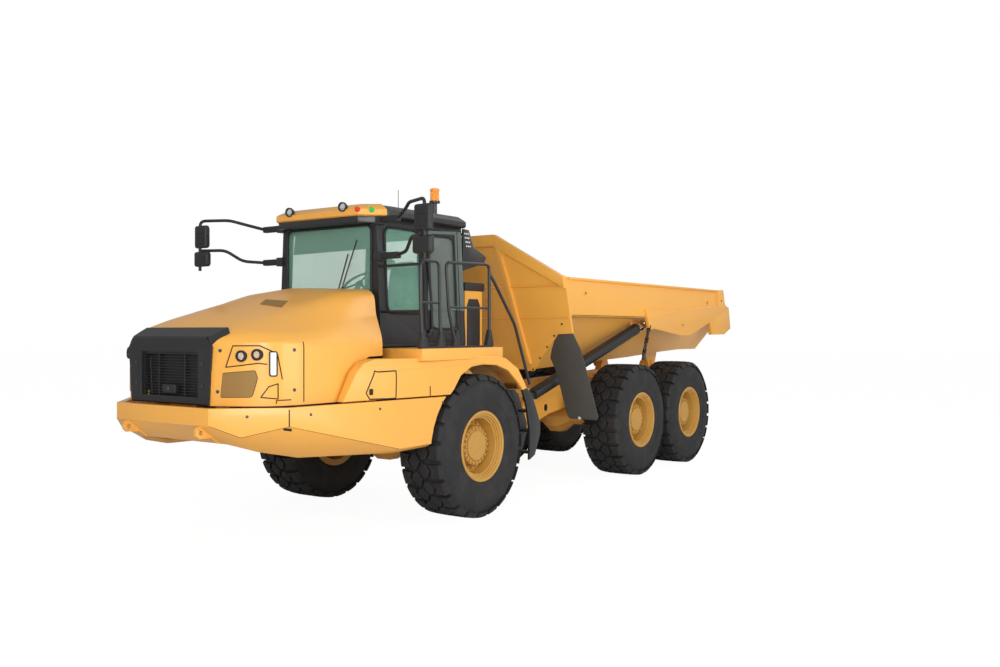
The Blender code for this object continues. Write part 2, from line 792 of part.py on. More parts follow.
def hood(truck, paint):
    """The one-piece hood, which tips forward, with the lamp pods and the grille."""
    wall = 0.03
    low_front, low_rear = 1.44, 1.87
    # y, half width, shoulder height, half width and height of the top, lower edge
    stations = (
        (-3.03, 0.61, 1.96, 0.50, 2.09, low_front),
        (-2.93, 0.84, 1.96, 0.64, 2.16, low_front),
        (-2.80, 1.03, 1.96, 0.76, 2.25, low_front),
        (-2.56, 1.14, 1.96, 0.80, 2.35, low_front),
        (-2.10, 1.17, 1.97, 0.82, 2.46, low_front),
        (-1.92, 1.17, 1.98, 0.82, 2.49, 1.76),
        (-1.78, 1.17, 1.99, 0.81, 2.51, low_rear),
        (-1.50, 1.15, 2.01, 0.79, 2.54, low_rear),
        (-1.06, 1.12, 2.02, 0.76, 2.545, low_rear),
    )
    rings = []
    for y, half, shoulder, top_half, top, low in stations:
        right = [
            (half, low),
            (half, shoulder),
            (half - 0.10, shoulder + (top - shoulder) * 0.45),
            (top_half, top - 0.03),
        ]
        outer = [*right, (0, top), *[(-x, z) for x, z in reversed(right)]]
        left = [
            (-half + wall, low),
            (-half + wall, shoulder),
            (0.115 + wall / 2 - half, shoulder + (top - shoulder) * 0.40),
            (-top_half + wall / 2, top - 0.03 - wall),
        ]
        inner = [*left, (0, top - wall), *[(-x, z) for x, z in reversed(left)]]
        rings.append([(x, y, z) for x, z in outer + inner])
    hinge = (0, *HOOD_HINGE)
    open_half = 0.43
    lamps = ((0.827, -2.91, 1.877), (0.972, -2.82, 1.89))
    part(
        "hood",
        [
            loft(rings),
            plate(((-0.60, low_front), (0.60, low_front), (0.60, 1.98), (0.50, 2.07), (-0.50, 2.07),
                   (-0.60, 1.98)), "Y", -3.05, -3.00),
            *[
                bm
                for place in lamps
                for bm in both_sides(cylinder(place, LAMP_R, 0.04, "Y", LAMP_SIDES))
            ],
            *both_sides(
                box(
                    (HOOD_EAR_OUT - 0.04, HOOD_EAR_OUT),
                    (-3.02, HOOD_HINGE[0] + 0.04),
                    (HOOD_HINGE[1] - 0.04, HOOD_HINGE[1] + 0.04),
                )
            ),
        ],
        paint["yellow"],
        hinge,
        truck,
        cuts=[
            box((-open_half, open_half), (-3.2, -2.99), (low_front + 0.03, 1.91)),
            cylinder(hinge, HOOD_PIN_R + 0.002, 0.5),
        ],
    )
    bars = [
        box((-open_half + GAP, open_half - GAP), (-3.04, -3.012), (z, z + 0.022))
        for z in [low_front + 0.085 + 0.07 * k for k in range(5)]
    ]
    frame_x = shrink((-open_half, open_half), GAP)
    frame_z = shrink((low_front + 0.03, 1.91), GAP)
    edge = 0.035
    surround = ((0.40, 1.45), (0.57, 1.45), (0.59, 2.00), (0.56, 2.03), (0.40, 2.03))
    part(
        "grille",
        [
            *both_sides(box((frame_x[1] - edge, frame_x[1]), (-3.07, -3.005), frame_z)),
            *both_sides(plate(surround, "Y", -3.085, -3.05 - GAP)),
            box((-0.41, 0.41), (-3.0849, -3.0504), (1.905, 2.02)),
            box(frame_x, (-3.0449, -3.0051), (frame_z[0], frame_z[0] + edge)),
            box(frame_x, (-3.0449, -3.0051), (frame_z[1] - edge, frame_z[1])),
            *bars,
        ],
        paint["black"],
        hinge,
        truck,
    )


def hitch(truck, paint):
    """The block that steers on the upright pin and lets the rear frame roll, and the steering cylinders."""
    low, high = EAR_LOW + EAR_WALL + GAP, RAIL_TOP - EAR_WALL - GAP
    middle, half = (low + high) / 2, (high - low) / 2
    arm_top = STEER_Z - 0.05
    part(
        "hitch",
        [
            cylinder((0, HITCH_Y, middle), HITCH_BARREL_R, half, "Z"),
            box((-0.11, 0.11), (HITCH_Y, ROLL_FACE_Y - 0.02), (low + 0.03, high - 0.03)),
            cylinder((0, (HITCH_Y + ROLL_FACE_Y) / 2 + 0.09, ROLL_Z), 0.19, 0.035 - GAP / 2, "Y"),
            cylinder((0, ROLL_FACE_Y + 0.06, ROLL_Z), ROLL_R, 0.11, "Y", RIM_SIDES),
            *both_sides(
                plate(
                    ((0, 1.16), (STEER_EYE[0] - 0.05, 1.19), (STEER_EYE[0] + 0.06, 1.19),
                     (STEER_EYE[0] + 0.06, 1.31), (0, 1.34)),
                    "Z", arm_top - 0.07, arm_top,
                )
            ),
        ],
        paint["steel"],
        (0, HITCH_Y, middle),
        truck,
        cuts=[cylinder((0, HITCH_Y, middle), HITCH_BORE, 0.5, "Z")],
    )
    reach = math.dist(STEER_BASE, STEER_EYE)
    for name, sign in (("left", 1), ("right", -1)):
        base = Vector((sign * STEER_BASE[0], STEER_BASE[1], STEER_Z))
        eye = Vector((sign * STEER_EYE[0], STEER_EYE[1], STEER_Z))
        barrel, piston = ram(
            reach, STEER_STROKE, STEER_R, STEER_ROD_R, STEER_EYE_R, STEER_R, 2 * STEER_STROKE
        )
        frame = along_frame(base, eye, Vector((0, 0, 1)))
        part(f"steering_barrel_{name}", moved(barrel, frame), paint["black"], base, truck)
        part(f"steering_rod_{name}", moved(piston, frame), paint["rod"], eye, truck)


def along_frame(base, eye, pin):
    """A frame at the base whose X runs to the eye and whose Z is as near the pin's axis as can be."""
    x = (eye - base).normalized()
    y = pin.cross(x).normalized()
    z = x.cross(y)
    return Matrix.Translation(base) @ Matrix((x, y, z)).transposed().to_4x4()


def moved(pieces, matrix):
    for bm in pieces:
        bmesh.ops.transform(bm, matrix=matrix, verts=bm.verts)
    return pieces


def ram(reach, shut, barrel_r, rod_r, eye_r, eye_half, stroke):
    """A cylinder and its rod along +X, with eyes that turn about Z: reach is between them at rest.

    shut is how much of the stroke is still to come in when the rod moves inwards.
    """
    mouth = reach - shut - eye_r - 0.06
    inner = mouth - (stroke - shut) - 0.08
    blind = inner - shut - 0.01
    neck = eye_half - 0.004
    barrel = [
        cylinder((0, 0, 0), eye_r, eye_half, "Z"),
        turned(
            (
                (0, 0.02), (neck, 0.02), (neck, eye_r + 0.012), (barrel_r, eye_r + 0.03),
                (barrel_r, mouth), (rod_r + GAP, mouth), (rod_r + GAP, blind), (0, blind),
            ),
            (0, 0, 0),
        ),
    ]
    rod = [
        turned(((0, inner), (rod_r, inner), (rod_r, reach), (0, reach)), (0, 0, 0)),
        cylinder((reach, 0, 0), eye_r, eye_half, "Z"),
    ]
    return barrel, rod


def hoist_pin():
    """The hoist cylinder's pin on the left side, square to the cylinder."""
    run = (Vector(HOIST_EYE) - Vector(HOIST_BASE)).normalized()
    axis = Vector(HOIST_AXIS)
    return (axis - axis.dot(run) * run).normalized()


def rear_frame(truck, paint):
    """The frame that rolls behind the hitch, with its two axles, the walking beams and the hoist bases."""
    rail_in = REAR_RAIL_OUT - REAR_RAIL_WALL
    rear_axle_y = MID_AXLE_Y + AXLE_SPACING
    rail = (
        (ROLL_FACE_Y, 0.80), (ROLL_FACE_Y, 1.26), (2.6, 1.32), (BODY_PIN_Y - 0.20, 1.44),
        (BODY_PIN_Y - 0.09, 1.60), (BODY_PIN_Y + 0.06, 1.63), (BODY_PIN_Y + 0.12, 1.50),
        (BODY_PIN_Y - 0.05, 1.14), (3.5, 1.0), (2.9, 0.92), (2.3, 0.74), (1.75, 0.72),
    )
    cross = REAR_RAIL_OUT - 0.01
    beam_y = MID_AXLE_Y + AXLE_SPACING / 2
    beam_in = HALF_TRACK - BEAM_INSET
    base = Vector(HOIST_BASE)
    pin = hoist_pin()
    inner_face = base - pin * (HOIST_EYE_HALF + GAP)
    bosses = []
    for sign in (1, -1):
        boss = cylinder((0, 0, 0), 0.06, 0.06)
        aim = pin.to_track_quat("X", "Z").to_matrix().to_4x4()
        moved([boss], Matrix.Translation(inner_face - pin * 0.06) @ aim)
        bosses.append(boss if sign > 0 else mirrored(boss))
    part(
        "rear_frame",
        [
            *both_sides(plate(rail, "X", rail_in, REAR_RAIL_OUT)),
            box((-cross, cross), (ROLL_FACE_Y, ROLL_FACE_Y + 0.10), (0.81, 1.25)),
            box((-cross, cross), (2.75, 2.90), (0.96, 1.30)),
            box((-cross, cross), (beam_y - 0.10, beam_y + 0.10), (1.06, 1.36)),
            box((-cross, cross), (BODY_PIN_Y - 0.45, BODY_PIN_Y - 0.35), (1.10, 1.38)),
            *both_sides(box((REAR_RAIL_OUT - 0.02, beam_in), (beam_y - 0.08, beam_y + 0.08), (1.00, 1.16))),
            *both_sides(
                tube([(0.40, HOIST_BASE[1], 1.10), tuple(inner_face - pin * 0.09)], 0.055, 8)
            ),
            *bosses,
            *both_sides(cylinder((0.50, BODY_PIN_Y, BODY_PIN_Z), BODY_PIN_R, 0.06)),
        ],
        paint["yellow"],
        (0, ROLL_FACE_Y, ROLL_Z),
        truck,
        cuts=[cylinder((0, ROLL_FACE_Y, ROLL_Z), ROLL_BORE, 0.3, "Y", RIM_SIDES)],
    )
    axle("mid_axle", MID_AXLE_Y, paint["yellow"], truck)
    axle("rear_axle", rear_axle_y, paint["yellow"], truck)
    seat = TYRE_R + 0.05
    beam = (
        (MID_AXLE_Y - 0.20, seat), (rear_axle_y + 0.20, seat), (rear_axle_y + 0.16, seat + 0.17),
        (beam_y + 0.30, seat + 0.26), (beam_y - 0.30, seat + 0.26), (MID_AXLE_Y - 0.16, seat + 0.17),
    )
    saddles = (MID_AXLE_Y, rear_axle_y)
    for name, sign in (("left", 1), ("right", -1)):
        span = sorted((sign * (beam_in + GAP), sign * (beam_in + BEAM_WALL)))
        part(
            f"walking_beam_{name}",
            [plate(beam, "X", *span)],
            paint["yellow"],
            parent=truck,
            cuts=[cylinder((0, y, TYRE_R), AXLE_TUBE_R + GAP, 0.8) for y in saddles],
        )


def dump_body(truck, paint):
    """The tipping body: folded sides, a leaning headboard, a rising chute, side beams and hinge lugs."""
    hinge = (0, BODY_PIN_Y, BODY_PIN_Z)

    def section(y, floor_half, floor_z, soffit_x, inset, top, lean):
        half = BODY_HALF - inset
        soffit_z = FOLD_Z - 0.02 + inset
        right = [
            (floor_half - inset * 0.4, floor_z + inset),
            (soffit_x - inset * 0.8, soffit_z),
            (half, soffit_z + 0.02),
            (half, top),
        ]
        points = right + [(-x, z) for x, z in reversed(right)]
        return [(x, y + (FOLD_Z - z) * lean, z) for x, z in points]

    # y, half width and height of the floor, half width where the sloping side meets the soffit
    stations = (
        (4.90, 0.68, 1.69, SOFFIT_X),
        (5.60, 0.80, 1.75, 1.24),
        (6.30, 0.88, 1.79, 1.30),
    )
    front = (0.64, 1.58, SOFFIT_X)
    tail = (0.90, 1.79, 1.31)

    def shell(inset, front_y, tail_y, top):
        rings = [section(front_y, *front, inset, top, FRONT_LEAN)]
        rings += [section(*row, inset, top, 0) for row in stations]
        rings.append(section(tail_y, *tail, inset, top, 0))
        return loft(rings)

    def leaning(points, thick, start=0):
        rings = []
        for step in (start, thick):
            rings.append([(x, FRONT_Y + (FOLD_Z - z) * FRONT_LEAN + step, z) for x, z in points])
        return loft(rings)

    head = [(-BODY_HALF, 2.60), (BODY_HALF, 2.60), (BODY_HALF, SIDE_TOP), (HEAD_HALF, FRONT_TOP_Z),
            (-HEAD_HALF, FRONT_TOP_Z), (-BODY_HALF, SIDE_TOP)]
    rim_drop = 0.15
    rim = [(BODY_HALF, SIDE_TOP - rim_drop), (BODY_HALF, SIDE_TOP), (HEAD_HALF, FRONT_TOP_Z)]
    rim += [(-x, z) for x, z in reversed(rim)]
    rim += [(-HEAD_HALF + 0.04, FRONT_TOP_Z - rim_drop), (HEAD_HALF - 0.04, FRONT_TOP_Z - rim_drop)]
    gusset = [(BODY_HALF, 2.40), (BODY_HALF, 2.07), (1.14, 2.06), (0.68, 1.56), (0.55, 1.56), (0.60, 1.70),
              (1.10, 2.40)]
    cheek = ((6.40, 2.36), (6.54, 2.04), (7.08, 2.045), (TAIL_Y, 2.15), (7.28, 2.51), (7.12, 2.54),
             (7.03, 2.81), (6.80, 2.80), (6.80, 2.36))
    beam = ((4.05, 2.42), (4.20, 2.12), (4.32, 2.14), (5.24, 2.035), (5.63, 2.033), (6.58, 2.288),
            (7.20, 2.50), (7.10, 2.56), (5.09, 2.42))
    lug = ((BODY_PIN_Y - 0.28, 1.80), (BODY_PIN_Y - 0.10, 1.50), (BODY_PIN_Y, 1.46),
           (BODY_PIN_Y + 0.10, 1.50), (BODY_PIN_Y + 0.22, 1.82))
    eye_y, eye_z = HOIST_EYE[1], HOIST_EYE[2]
    bracket = ((eye_y - 0.12, FOLD_Z + 0.02), (eye_y - 0.08, eye_z - 0.10), (eye_y + 0.06, eye_z - 0.10),
               (eye_y + 0.20, FOLD_Z + 0.02))
    chain_top, chain_end = Vector((1.40, 4.21, 2.18)), Vector((1.40, 3.99, 1.67))
    run = (chain_end - chain_top).normalized()
    over = Vector((0, -run.z, run.y))
    links = 6
    chains = []
    for k in range(links):
        wide, thin = (0.026, 0.009) if k % 2 else (0.009, 0.026)
        middle = chain_top.lerp(chain_end, (k + 0.5) / links)
        half = (chain_end - chain_top).length / links * 0.65
        corners = [middle + run * a * half + over * b * wide for a, b in ((-1, -1), (1, -1), (1, 1), (-1, 1))]
        outline = [(corner.y, corner.z) for corner in corners]
        chains += both_sides(plate(outline, "X", middle.x - thin, middle.x + thin))
    part(
        "dump_body",
        [
            shell(0, FRONT_Y, 7.00, SIDE_TOP),
            leaning(head, 0.05),
            leaning(rim, 0.02, -0.05),
            *both_sides(leaning([(0.62, 1.66), (0.68, 1.66), (0.44, 3.30), (0.38, 3.30)], 0.02, -0.05)),
            *chains,
            leaning(gusset, GUSSET_WALL),
            leaning([(-x, z) for x, z in gusset], GUSSET_WALL),
            *both_sides(plate(cheek, "X", BODY_HALF - 0.03, BODY_HALF + 0.03)),
            *both_sides(plate(beam, "X", BODY_HALF - 0.005, BODY_HALF + 0.04)),
            *both_sides(plate(lug, "X", REAR_RAIL_OUT + GAP, REAR_RAIL_OUT + LUG_WALL)),
            *both_sides(plate(bracket, "X", 1.12, 1.15)),
        ],
        paint["yellow"],
        hinge,
        truck,
        cuts=[
            shell(BODY_WALL, FRONT_Y + BODY_WALL, 7.60, 3.80),
            cylinder(hinge, BODY_PIN_R + 0.006, 0.7),
        ],
    )

    # height, inner and outer edge; the top follows the gusset, and the rest hangs further back
    flap = (
        (2.18, 1.15, 1.37), (2.05, 1.10, 1.37), (1.86, 0.98, 1.42), (1.74, 0.92, 1.43),
        (1.56, 0.96, 1.435), (0.94, 0.96, 1.44), (0.90, 0.99, 1.41),
    )
    bend_z, thick = 2.05, 0.015

    def hanging(sign):
        rings = []
        for z, inner, outer in flap:
            lean = (FOLD_Z - max(z, bend_z)) * FRONT_LEAN + max(bend_z - z, 0) * 0.47
            y = FRONT_Y + GUSSET_WALL + GAP + lean
            rings.append([(sign * inner, y, z), (sign * outer, y, z), (sign * outer, y + thick, z),
                          (sign * inner, y + thick, z)])
        return loft(rings)

    part("body_mudflap_left", [hanging(1)], paint["sheet"], hinge, truck)
    part("body_mudflap_right", [hanging(-1)], paint["sheet"], hinge, truck)

    reach = (Vector(HOIST_EYE) - Vector(HOIST_BASE)).length
    for name, sign in (("left", 1), ("right", -1)):
        turn = Vector((sign, 1, 1))
        base, eye = Vector(HOIST_BASE) * turn, Vector(HOIST_EYE) * turn
        pin = hoist_pin() * turn
        barrel, piston = ram(
            reach, 0, HOIST_R, HOIST_ROD_R, HOIST_EYE_R, HOIST_EYE_HALF, HOIST_STROKE
        )
        frame = along_frame(base, eye, pin * sign)
        part(f"hoist_barrel_{name}", moved(barrel, frame), paint["black"], base, truck)
        part(f"hoist_rod_{name}", moved(piston, frame), paint["rod"], eye, truck)


def wheels(truck, paint):
    """Six tyres that share a mesh, and their rims, whose dish faces outwards on both sides."""
    tyre = tyre_mesh(paint["rubber"])
    rims = {side: rim_mesh(paint["yellow"], side) for side in (1, -1)}
    rows = (("front", 0), ("mid", MID_AXLE_Y), ("rear", MID_AXLE_Y + AXLE_SPACING))
    for row, y in rows:
        for name, side in (("left", 1), ("right", -1)):
            centre = (side * HALF_TRACK, y, TYRE_R)
            placed(f"tyre_{row}_{name}", tyre, centre, truck)
            placed(f"rim_{row}_{name}", rims[side], centre, truck)


def build():
    truck = bpy.data.objects.new("truck", None)
    bpy.context.collection.objects.link(truck)
    truck.location = (0, -(TOW_Y + TAIL_Y) / 2, 0)
    paint = {
        "yellow": finish("yellow paint", (0.92, 0.44, 0.06), 0.35),
        "black": finish("black paint", (0.03, 0.03, 0.033), 0.45),
        "steel": finish("dark steel", (0.06, 0.06, 0.065), 0.5, 0.6),
        "rod": finish("chrome rod", (0.75, 0.75, 0.78), 0.15, 1.0),
        "rubber": finish("tyre rubber", (0.035, 0.035, 0.037), 0.8),
        "sheet": finish("grey rubber sheet", (0.075, 0.07, 0.066), 0.75),
        "glass": finish("tinted glass", (0.30, 0.36, 0.33), 0.05, 0.0, 0.35),
        "cloth": finish("seat cloth", (0.05, 0.05, 0.055), 0.9),
        "amber": finish("amber lens", (0.95, 0.35, 0.02), 0.25),
    }
    for assembly in (tractor, cab, hood, hitch, rear_frame, dump_body, wheels):
        assembly(truck, paint)


for existing in list(bpy.data.objects):
    bpy.data.objects.remove(existing)
build()
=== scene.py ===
"""Looks of the articulated dump truck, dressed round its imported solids."""

import json
import logging
import math
from collections.abc import Callable, Iterable, Sequence
from dataclasses import dataclass
from enum import Enum

import bmesh
import bpy
from mathutils import Matrix, Vector
from mathutils.bvhtree import BVHTree

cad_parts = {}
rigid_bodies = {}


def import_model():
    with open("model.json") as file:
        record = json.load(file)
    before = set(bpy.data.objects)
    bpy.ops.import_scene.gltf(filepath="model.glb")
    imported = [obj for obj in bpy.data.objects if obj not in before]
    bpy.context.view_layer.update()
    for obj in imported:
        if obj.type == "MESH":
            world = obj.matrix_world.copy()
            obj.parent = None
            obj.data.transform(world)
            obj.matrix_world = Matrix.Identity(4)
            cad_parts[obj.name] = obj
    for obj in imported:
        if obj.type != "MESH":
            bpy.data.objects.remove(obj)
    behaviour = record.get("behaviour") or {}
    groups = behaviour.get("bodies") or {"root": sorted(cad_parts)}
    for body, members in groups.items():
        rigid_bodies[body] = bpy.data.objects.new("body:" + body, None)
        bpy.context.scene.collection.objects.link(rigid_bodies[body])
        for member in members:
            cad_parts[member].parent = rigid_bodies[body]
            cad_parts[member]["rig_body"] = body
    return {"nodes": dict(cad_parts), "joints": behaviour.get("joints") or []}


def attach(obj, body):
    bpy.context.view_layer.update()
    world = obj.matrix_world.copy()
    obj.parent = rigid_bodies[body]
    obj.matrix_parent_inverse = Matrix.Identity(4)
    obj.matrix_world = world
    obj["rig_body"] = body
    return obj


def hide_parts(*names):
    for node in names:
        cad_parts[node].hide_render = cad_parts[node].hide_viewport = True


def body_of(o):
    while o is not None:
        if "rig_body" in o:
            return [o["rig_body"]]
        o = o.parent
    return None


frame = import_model()
LOG = logging.getLogger("truck")
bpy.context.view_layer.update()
Point = Sequence[float]
Outline = Sequence[tuple[float, float]]
Colour = Sequence[float]


def joint_place(name: str) -> Vector:
    """The point that a joint turns about, in the row frame.

    Args:
        name: the joint's name in the record.

    Returns:
        Its place in metres.
    """
    return Vector(next(joint["pos_m"] for joint in frame["joints"] if joint["name"] == name))


WHEEL = joint_place("wheel_front_left_spin")
FORWARD = Vector((0, WHEEL.y, 0))
FLAT = math.radians(30)


class Slot(Enum):
    """The record's material slots."""

    YELLOW = "yellow_paint"
    BLACK = "black_paint"
    STEEL = "dark_steel"
    ROD = "chrome_rod"
    TYRE = "tyre_rubber"
    SHEET = "rubber_sheet"
    GLASS = "tinted_glass"
    CLOTH = "seat_cloth"
    AMBER = "amber_lens"


class Side(Enum):
    """The vehicle's two sides, by the sign of X."""

    LEFT = 1
    RIGHT = -1

    @property
    def word(self) -> str:
        """The side's name as the nodes spell it."""
        return self.name.lower()


class Value:
    """A shader socket that takes part in Python expressions."""

    def __init__(self, tree: bpy.types.NodeTree, socket: bpy.types.NodeSocket) -> None:
        """Wraps an output socket of the tree."""
        self.tree = tree
        self.socket = socket

    def math(self, operation: str, *others: "Value | float", swap: bool = False) -> "Value":
        """Adds one Math node.

        Args:
            operation: the node's operation.
            others: its other operands.
            swap: whether this value is the second operand.

        Returns:
            The node's result.
        """
        node = self.tree.nodes.new("ShaderNodeMath")
        node.operation = operation
        operands = [self, *others]
        if swap:
            operands.reverse()
        for i, operand in enumerate(operands):
            if isinstance(operand, Value):
                self.tree.links.new(operand.socket, node.inputs[i])
            else:
                node.inputs[i].default_value = operand
        return Value(self.tree, node.outputs[0])

    def __add__(self, other: "Value | float") -> "Value":
        """Sum."""
        return self.math("ADD", other)

    __radd__ = __add__

    def __sub__(self, other: "Value | float") -> "Value":
        """Difference."""
        return self.math("SUBTRACT", other)

    def __rsub__(self, other: float) -> "Value":
        """Difference from a number."""
        return self.math("SUBTRACT", other, swap=True)

    def __mul__(self, other: "Value | float") -> "Value":
        """Product."""
        return self.math("MULTIPLY", other)

    __rmul__ = __mul__

    def __truediv__(self, other: "Value | float") -> "Value":
        """Quotient."""
        return self.math("DIVIDE", other)

    def __pow__(self, other: float) -> "Value":
        """Power."""
        return self.math("POWER", other)

    def clamped(self) -> "Value":
        """The value held between 0 and 1."""
        return self.math("MAXIMUM", 0.0).math("MINIMUM", 1.0)

    def between(self, low: float, high: float) -> "Value":
        """0 at low and 1 at high, held there beyond them.

        Args:
            low: the value that gives 0.
            high: the value that gives 1.

        Returns:
            The share of the way.
        """
        return ((self - low) / (high - low)).clamped()


class Shader:
    """One material in the making, whose Principled node takes every finish."""

    def __init__(self, name: str) -> None:
        """Starts a material with a bare Principled node."""
        self.material = bpy.data.materials.new(name)
        self.material.use_nodes = True
        self.tree = self.material.node_tree
        self.principled = self.tree.nodes["Principled BSDF"]

    def node(self, kind: str, settings: dict | None = None, output: int | str = 0, **sockets) -> Value:
        """Adds a node of any type.

        Args:
            kind: the node's type.
            settings: attributes that are set first.
            output: which of its outputs is wanted.
            sockets: values or links for its inputs, with spaces written as underscores.

        Returns:
            The wanted output.
        """
        node = self.tree.nodes.new(kind)
        for key, value in (settings or {}).items():
            setattr(node, key, value)
        for key, value in sockets.items():
            self.feed(node, key.replace("_", " "), value)
        return Value(self.tree, node.outputs[output])

    def feed(self, node: bpy.types.Node, name: str, value: "Value | float | Sequence[float]") -> None:
        """Sets or links one input, taking the enabled one where several share a name.

        Args:
            node: the node.
            name: the input's name.
            value: a number, a vector, a colour or a link.
        """
        found = [socket for socket in node.inputs if socket.name == name and socket.enabled]
        if isinstance(value, Value):
            self.tree.links.new(value.socket, found[0])
        else:
            found[0].default_value = value

    def place(self) -> Value:
        """Object coordinates."""
        return self.node("ShaderNodeTexCoord", output="Object")

    def noise(self, scale: float, detail: float = 2.0, stretch: Point = (1, 1, 1)) -> Value:
        """Noise over the object's own coordinates.

        Args:
            scale: features a metre.
            detail: octaves.
            stretch: scale along each axis.

        Returns:
            A value about 0.5.
        """
        mapped = self.node("ShaderNodeMapping", Vector=self.place(), Scale=stretch)
        return self.node("ShaderNodeTexNoise", Vector=mapped, Scale=scale, Detail=detail)

    def wave(self, direction: str, scale: float) -> Value:
        """Even bands across one of the object's own axes.

        Args:
            direction: X, Y or Z.
            scale: how close the bands stand.

        Returns:
            A value from 0 to 1.
        """
        return self.node(
            "ShaderNodeTexWave", {"bands_direction": direction}, 1, Vector=self.place(), Scale=scale
        )

    def height(self) -> Value:
        """The place above the ground, in metres."""
        return self.node("ShaderNodeSeparateXYZ", output="Z", Vector=self.place())

    def mix(self, factor: Value | float, one: Colour | Value, two: Colour | Value) -> Value:
        """Mixes two colours.

        Args:
            factor: 0 for the first and 1 for the second.
            one: the first colour.
            two: the second colour.

        Returns:
            The mixed colour.
        """
        node = self.tree.nodes.new("ShaderNodeMix")
        node.data_type = "RGBA"
        for name, value in (("Factor", factor), ("A", one), ("B", two)):
            self.feed(node, name, value)
        found = [socket for socket in node.outputs if socket.enabled]
        return Value(self.tree, found[0])

    def bump(self, height: Value, distance: float, strength: float = 1.0) -> Value:
        """A normal bent by a height.

        Args:
            height: 0 to 1.
            distance: metres for a height of 1.
            strength: share of the effect.

        Returns:
            The normal.
        """
        return self.node(
            "ShaderNodeBump", output="Normal", Height=height, Distance=distance, Strength=strength
        )

    def surface(self, **sockets) -> bpy.types.Material:
        """Feeds the Principled node and ends the material.

        Args:
            sockets: its inputs, with spaces written as underscores.

        Returns:
            The material.
        """
        for key, value in sockets.items():
            self.feed(self.principled, key.replace("_", " "), value)
        return self.material


def rgba(colour: Colour, shade: float = 1.0) -> tuple[float, float, float, float]:
    """A colour with alpha, made lighter or darker.

    Args:
        colour: red, green and blue.
        shade: factor on all three.

    Returns:
        The four channels.
    """
    return (*[channel * shade for channel in colour], 1.0)


@dataclass(frozen=True)
class Paint:
    """Sprayed enamel: faint mottling, orange peel and road dust low down."""

    name: str
    colour: tuple[float, float, float]
    roughness: float = 0.40
    mottle: float = 0.04
    peel: float = 0.00012
    dust: float = 0.10
    dust_colour: tuple[float, float, float] = (0.30, 0.24, 0.17)
    dust_top: float = 1.5
    coat: float = 0.12
    specular: float = 0.5

    def build(self) -> bpy.types.Material:
        """The material."""
        shader = Shader(self.name)
        broad = shader.noise(1.3, 4.0)
        fine = shader.noise(160.0, 3.0)
        cloud = shader.noise(6.0, 5.0)
        colour = shader.mix(broad, rgba(self.colour, 1 - self.mottle), rgba(self.colour, 1 + self.mottle))
        low = 1 - shader.height().between(0.2, self.dust_top)
        dusty = (low * cloud.between(0.35, 0.75) * self.dust).clamped()
        return shader.surface(
            Base_Color=shader.mix(dusty, colour, rgba(self.dust_colour)),
            Roughness=(self.roughness + (cloud - 0.5) * 0.10 + dusty * 0.5).clamped(),
            Normal=shader.bump(fine, self.peel),
            Coat_Weight=self.coat,
            Coat_Roughness=0.12,
            Specular_IOR_Level=self.specular,
        )


@dataclass(frozen=True)
class Rubber:
    """Moulded rubber: matt, dusty in its grooves, with a fine skin."""

    name: str
    colour: tuple[float, float, float]
    roughness: float = 0.72
    skin: float = 0.0006
    dust: float = 0.18

    def build(self) -> bpy.types.Material:
        """The material."""
        shader = Shader(self.name)
        cloud = shader.noise(5.0, 6.0)
        skin = shader.noise(220.0, 3.0)
        scuff = shader.noise(24.0, 5.0)
        dusty = cloud.between(0.45, 0.85) * self.dust
        colour = shader.mix(scuff, rgba(self.colour, 0.85), rgba(self.colour, 1.2))
        return shader.surface(
            Base_Color=shader.mix(dusty, colour, rgba((0.12, 0.105, 0.085))),
            Roughness=(self.roughness + (scuff - 0.5) * 0.25).clamped(),
            Normal=shader.bump(skin, self.skin),
            Specular_IOR_Level=0.35,
        )


@dataclass(frozen=True)
class Metal:
    """Bare or plated metal, smooth or cast."""

    name: str
    colour: tuple[float, float, float]
    roughness: float
    metallic: float = 1.0
    grain: float = 0.0002
    grain_scale: float = 90.0
    stretch: tuple[float, float, float] = (1, 1, 1)

    def build(self) -> bpy.types.Material:
        """The material."""
        shader = Shader(self.name)
        grain = shader.noise(self.grain_scale, 4.0, self.stretch)
        broad = shader.noise(7.0, 3.0)
        return shader.surface(
            Base_Color=shader.mix(broad, rgba(self.colour, 0.88), rgba(self.colour, 1.06)),
            Roughness=(self.roughness + (grain - 0.5) * 0.12).clamped(),
            Metallic=self.metallic,
            Normal=shader.bump(grain, self.grain),
        )


@dataclass(frozen=True)
class Glass:
    """A see-through pane or lens."""

    name: str
    colour: tuple[float, float, float]
    alpha: float
    roughness: float = 0.03
    smear: float = 0.04

    def build(self) -> bpy.types.Material:
        """The material."""
        shader = Shader(self.name)
        smear = shader.noise(3.0, 4.0)
        return shader.surface(
            Base_Color=shader.mix(smear, rgba(self.colour, 0.94), rgba(self.colour, 1.04)),
            Roughness=(self.roughness + smear * self.smear).clamped(),
            Alpha=(self.alpha + (smear - 0.5) * 0.05).clamped(),
            Specular_IOR_Level=0.6,
        )


@dataclass(frozen=True)
class Lens:
    """A ribbed lamp lens of one clear colour, with a painted glow: a faint emission brightens the lens though
    the lamp is not lit.
    """

    name: str
    colour: tuple[float, float, float]
    # painted glow: an emission that brightens the unlit lens
    glow: float = 0.0
    ribs: float = 180.0

    def build(self) -> bpy.types.Material:
        """The material."""
        shader = Shader(self.name)
        rib = shader.wave("Z", self.ribs)
        return shader.surface(
            Base_Color=shader.mix(rib, rgba(self.colour, 0.85), rgba(self.colour, 1.1)),
            Roughness=0.12 + rib * 0.06,
            Normal=shader.bump(rib, 0.0008),
            Emission_Color=rgba(self.colour),
            Emission_Strength=self.glow,
        )


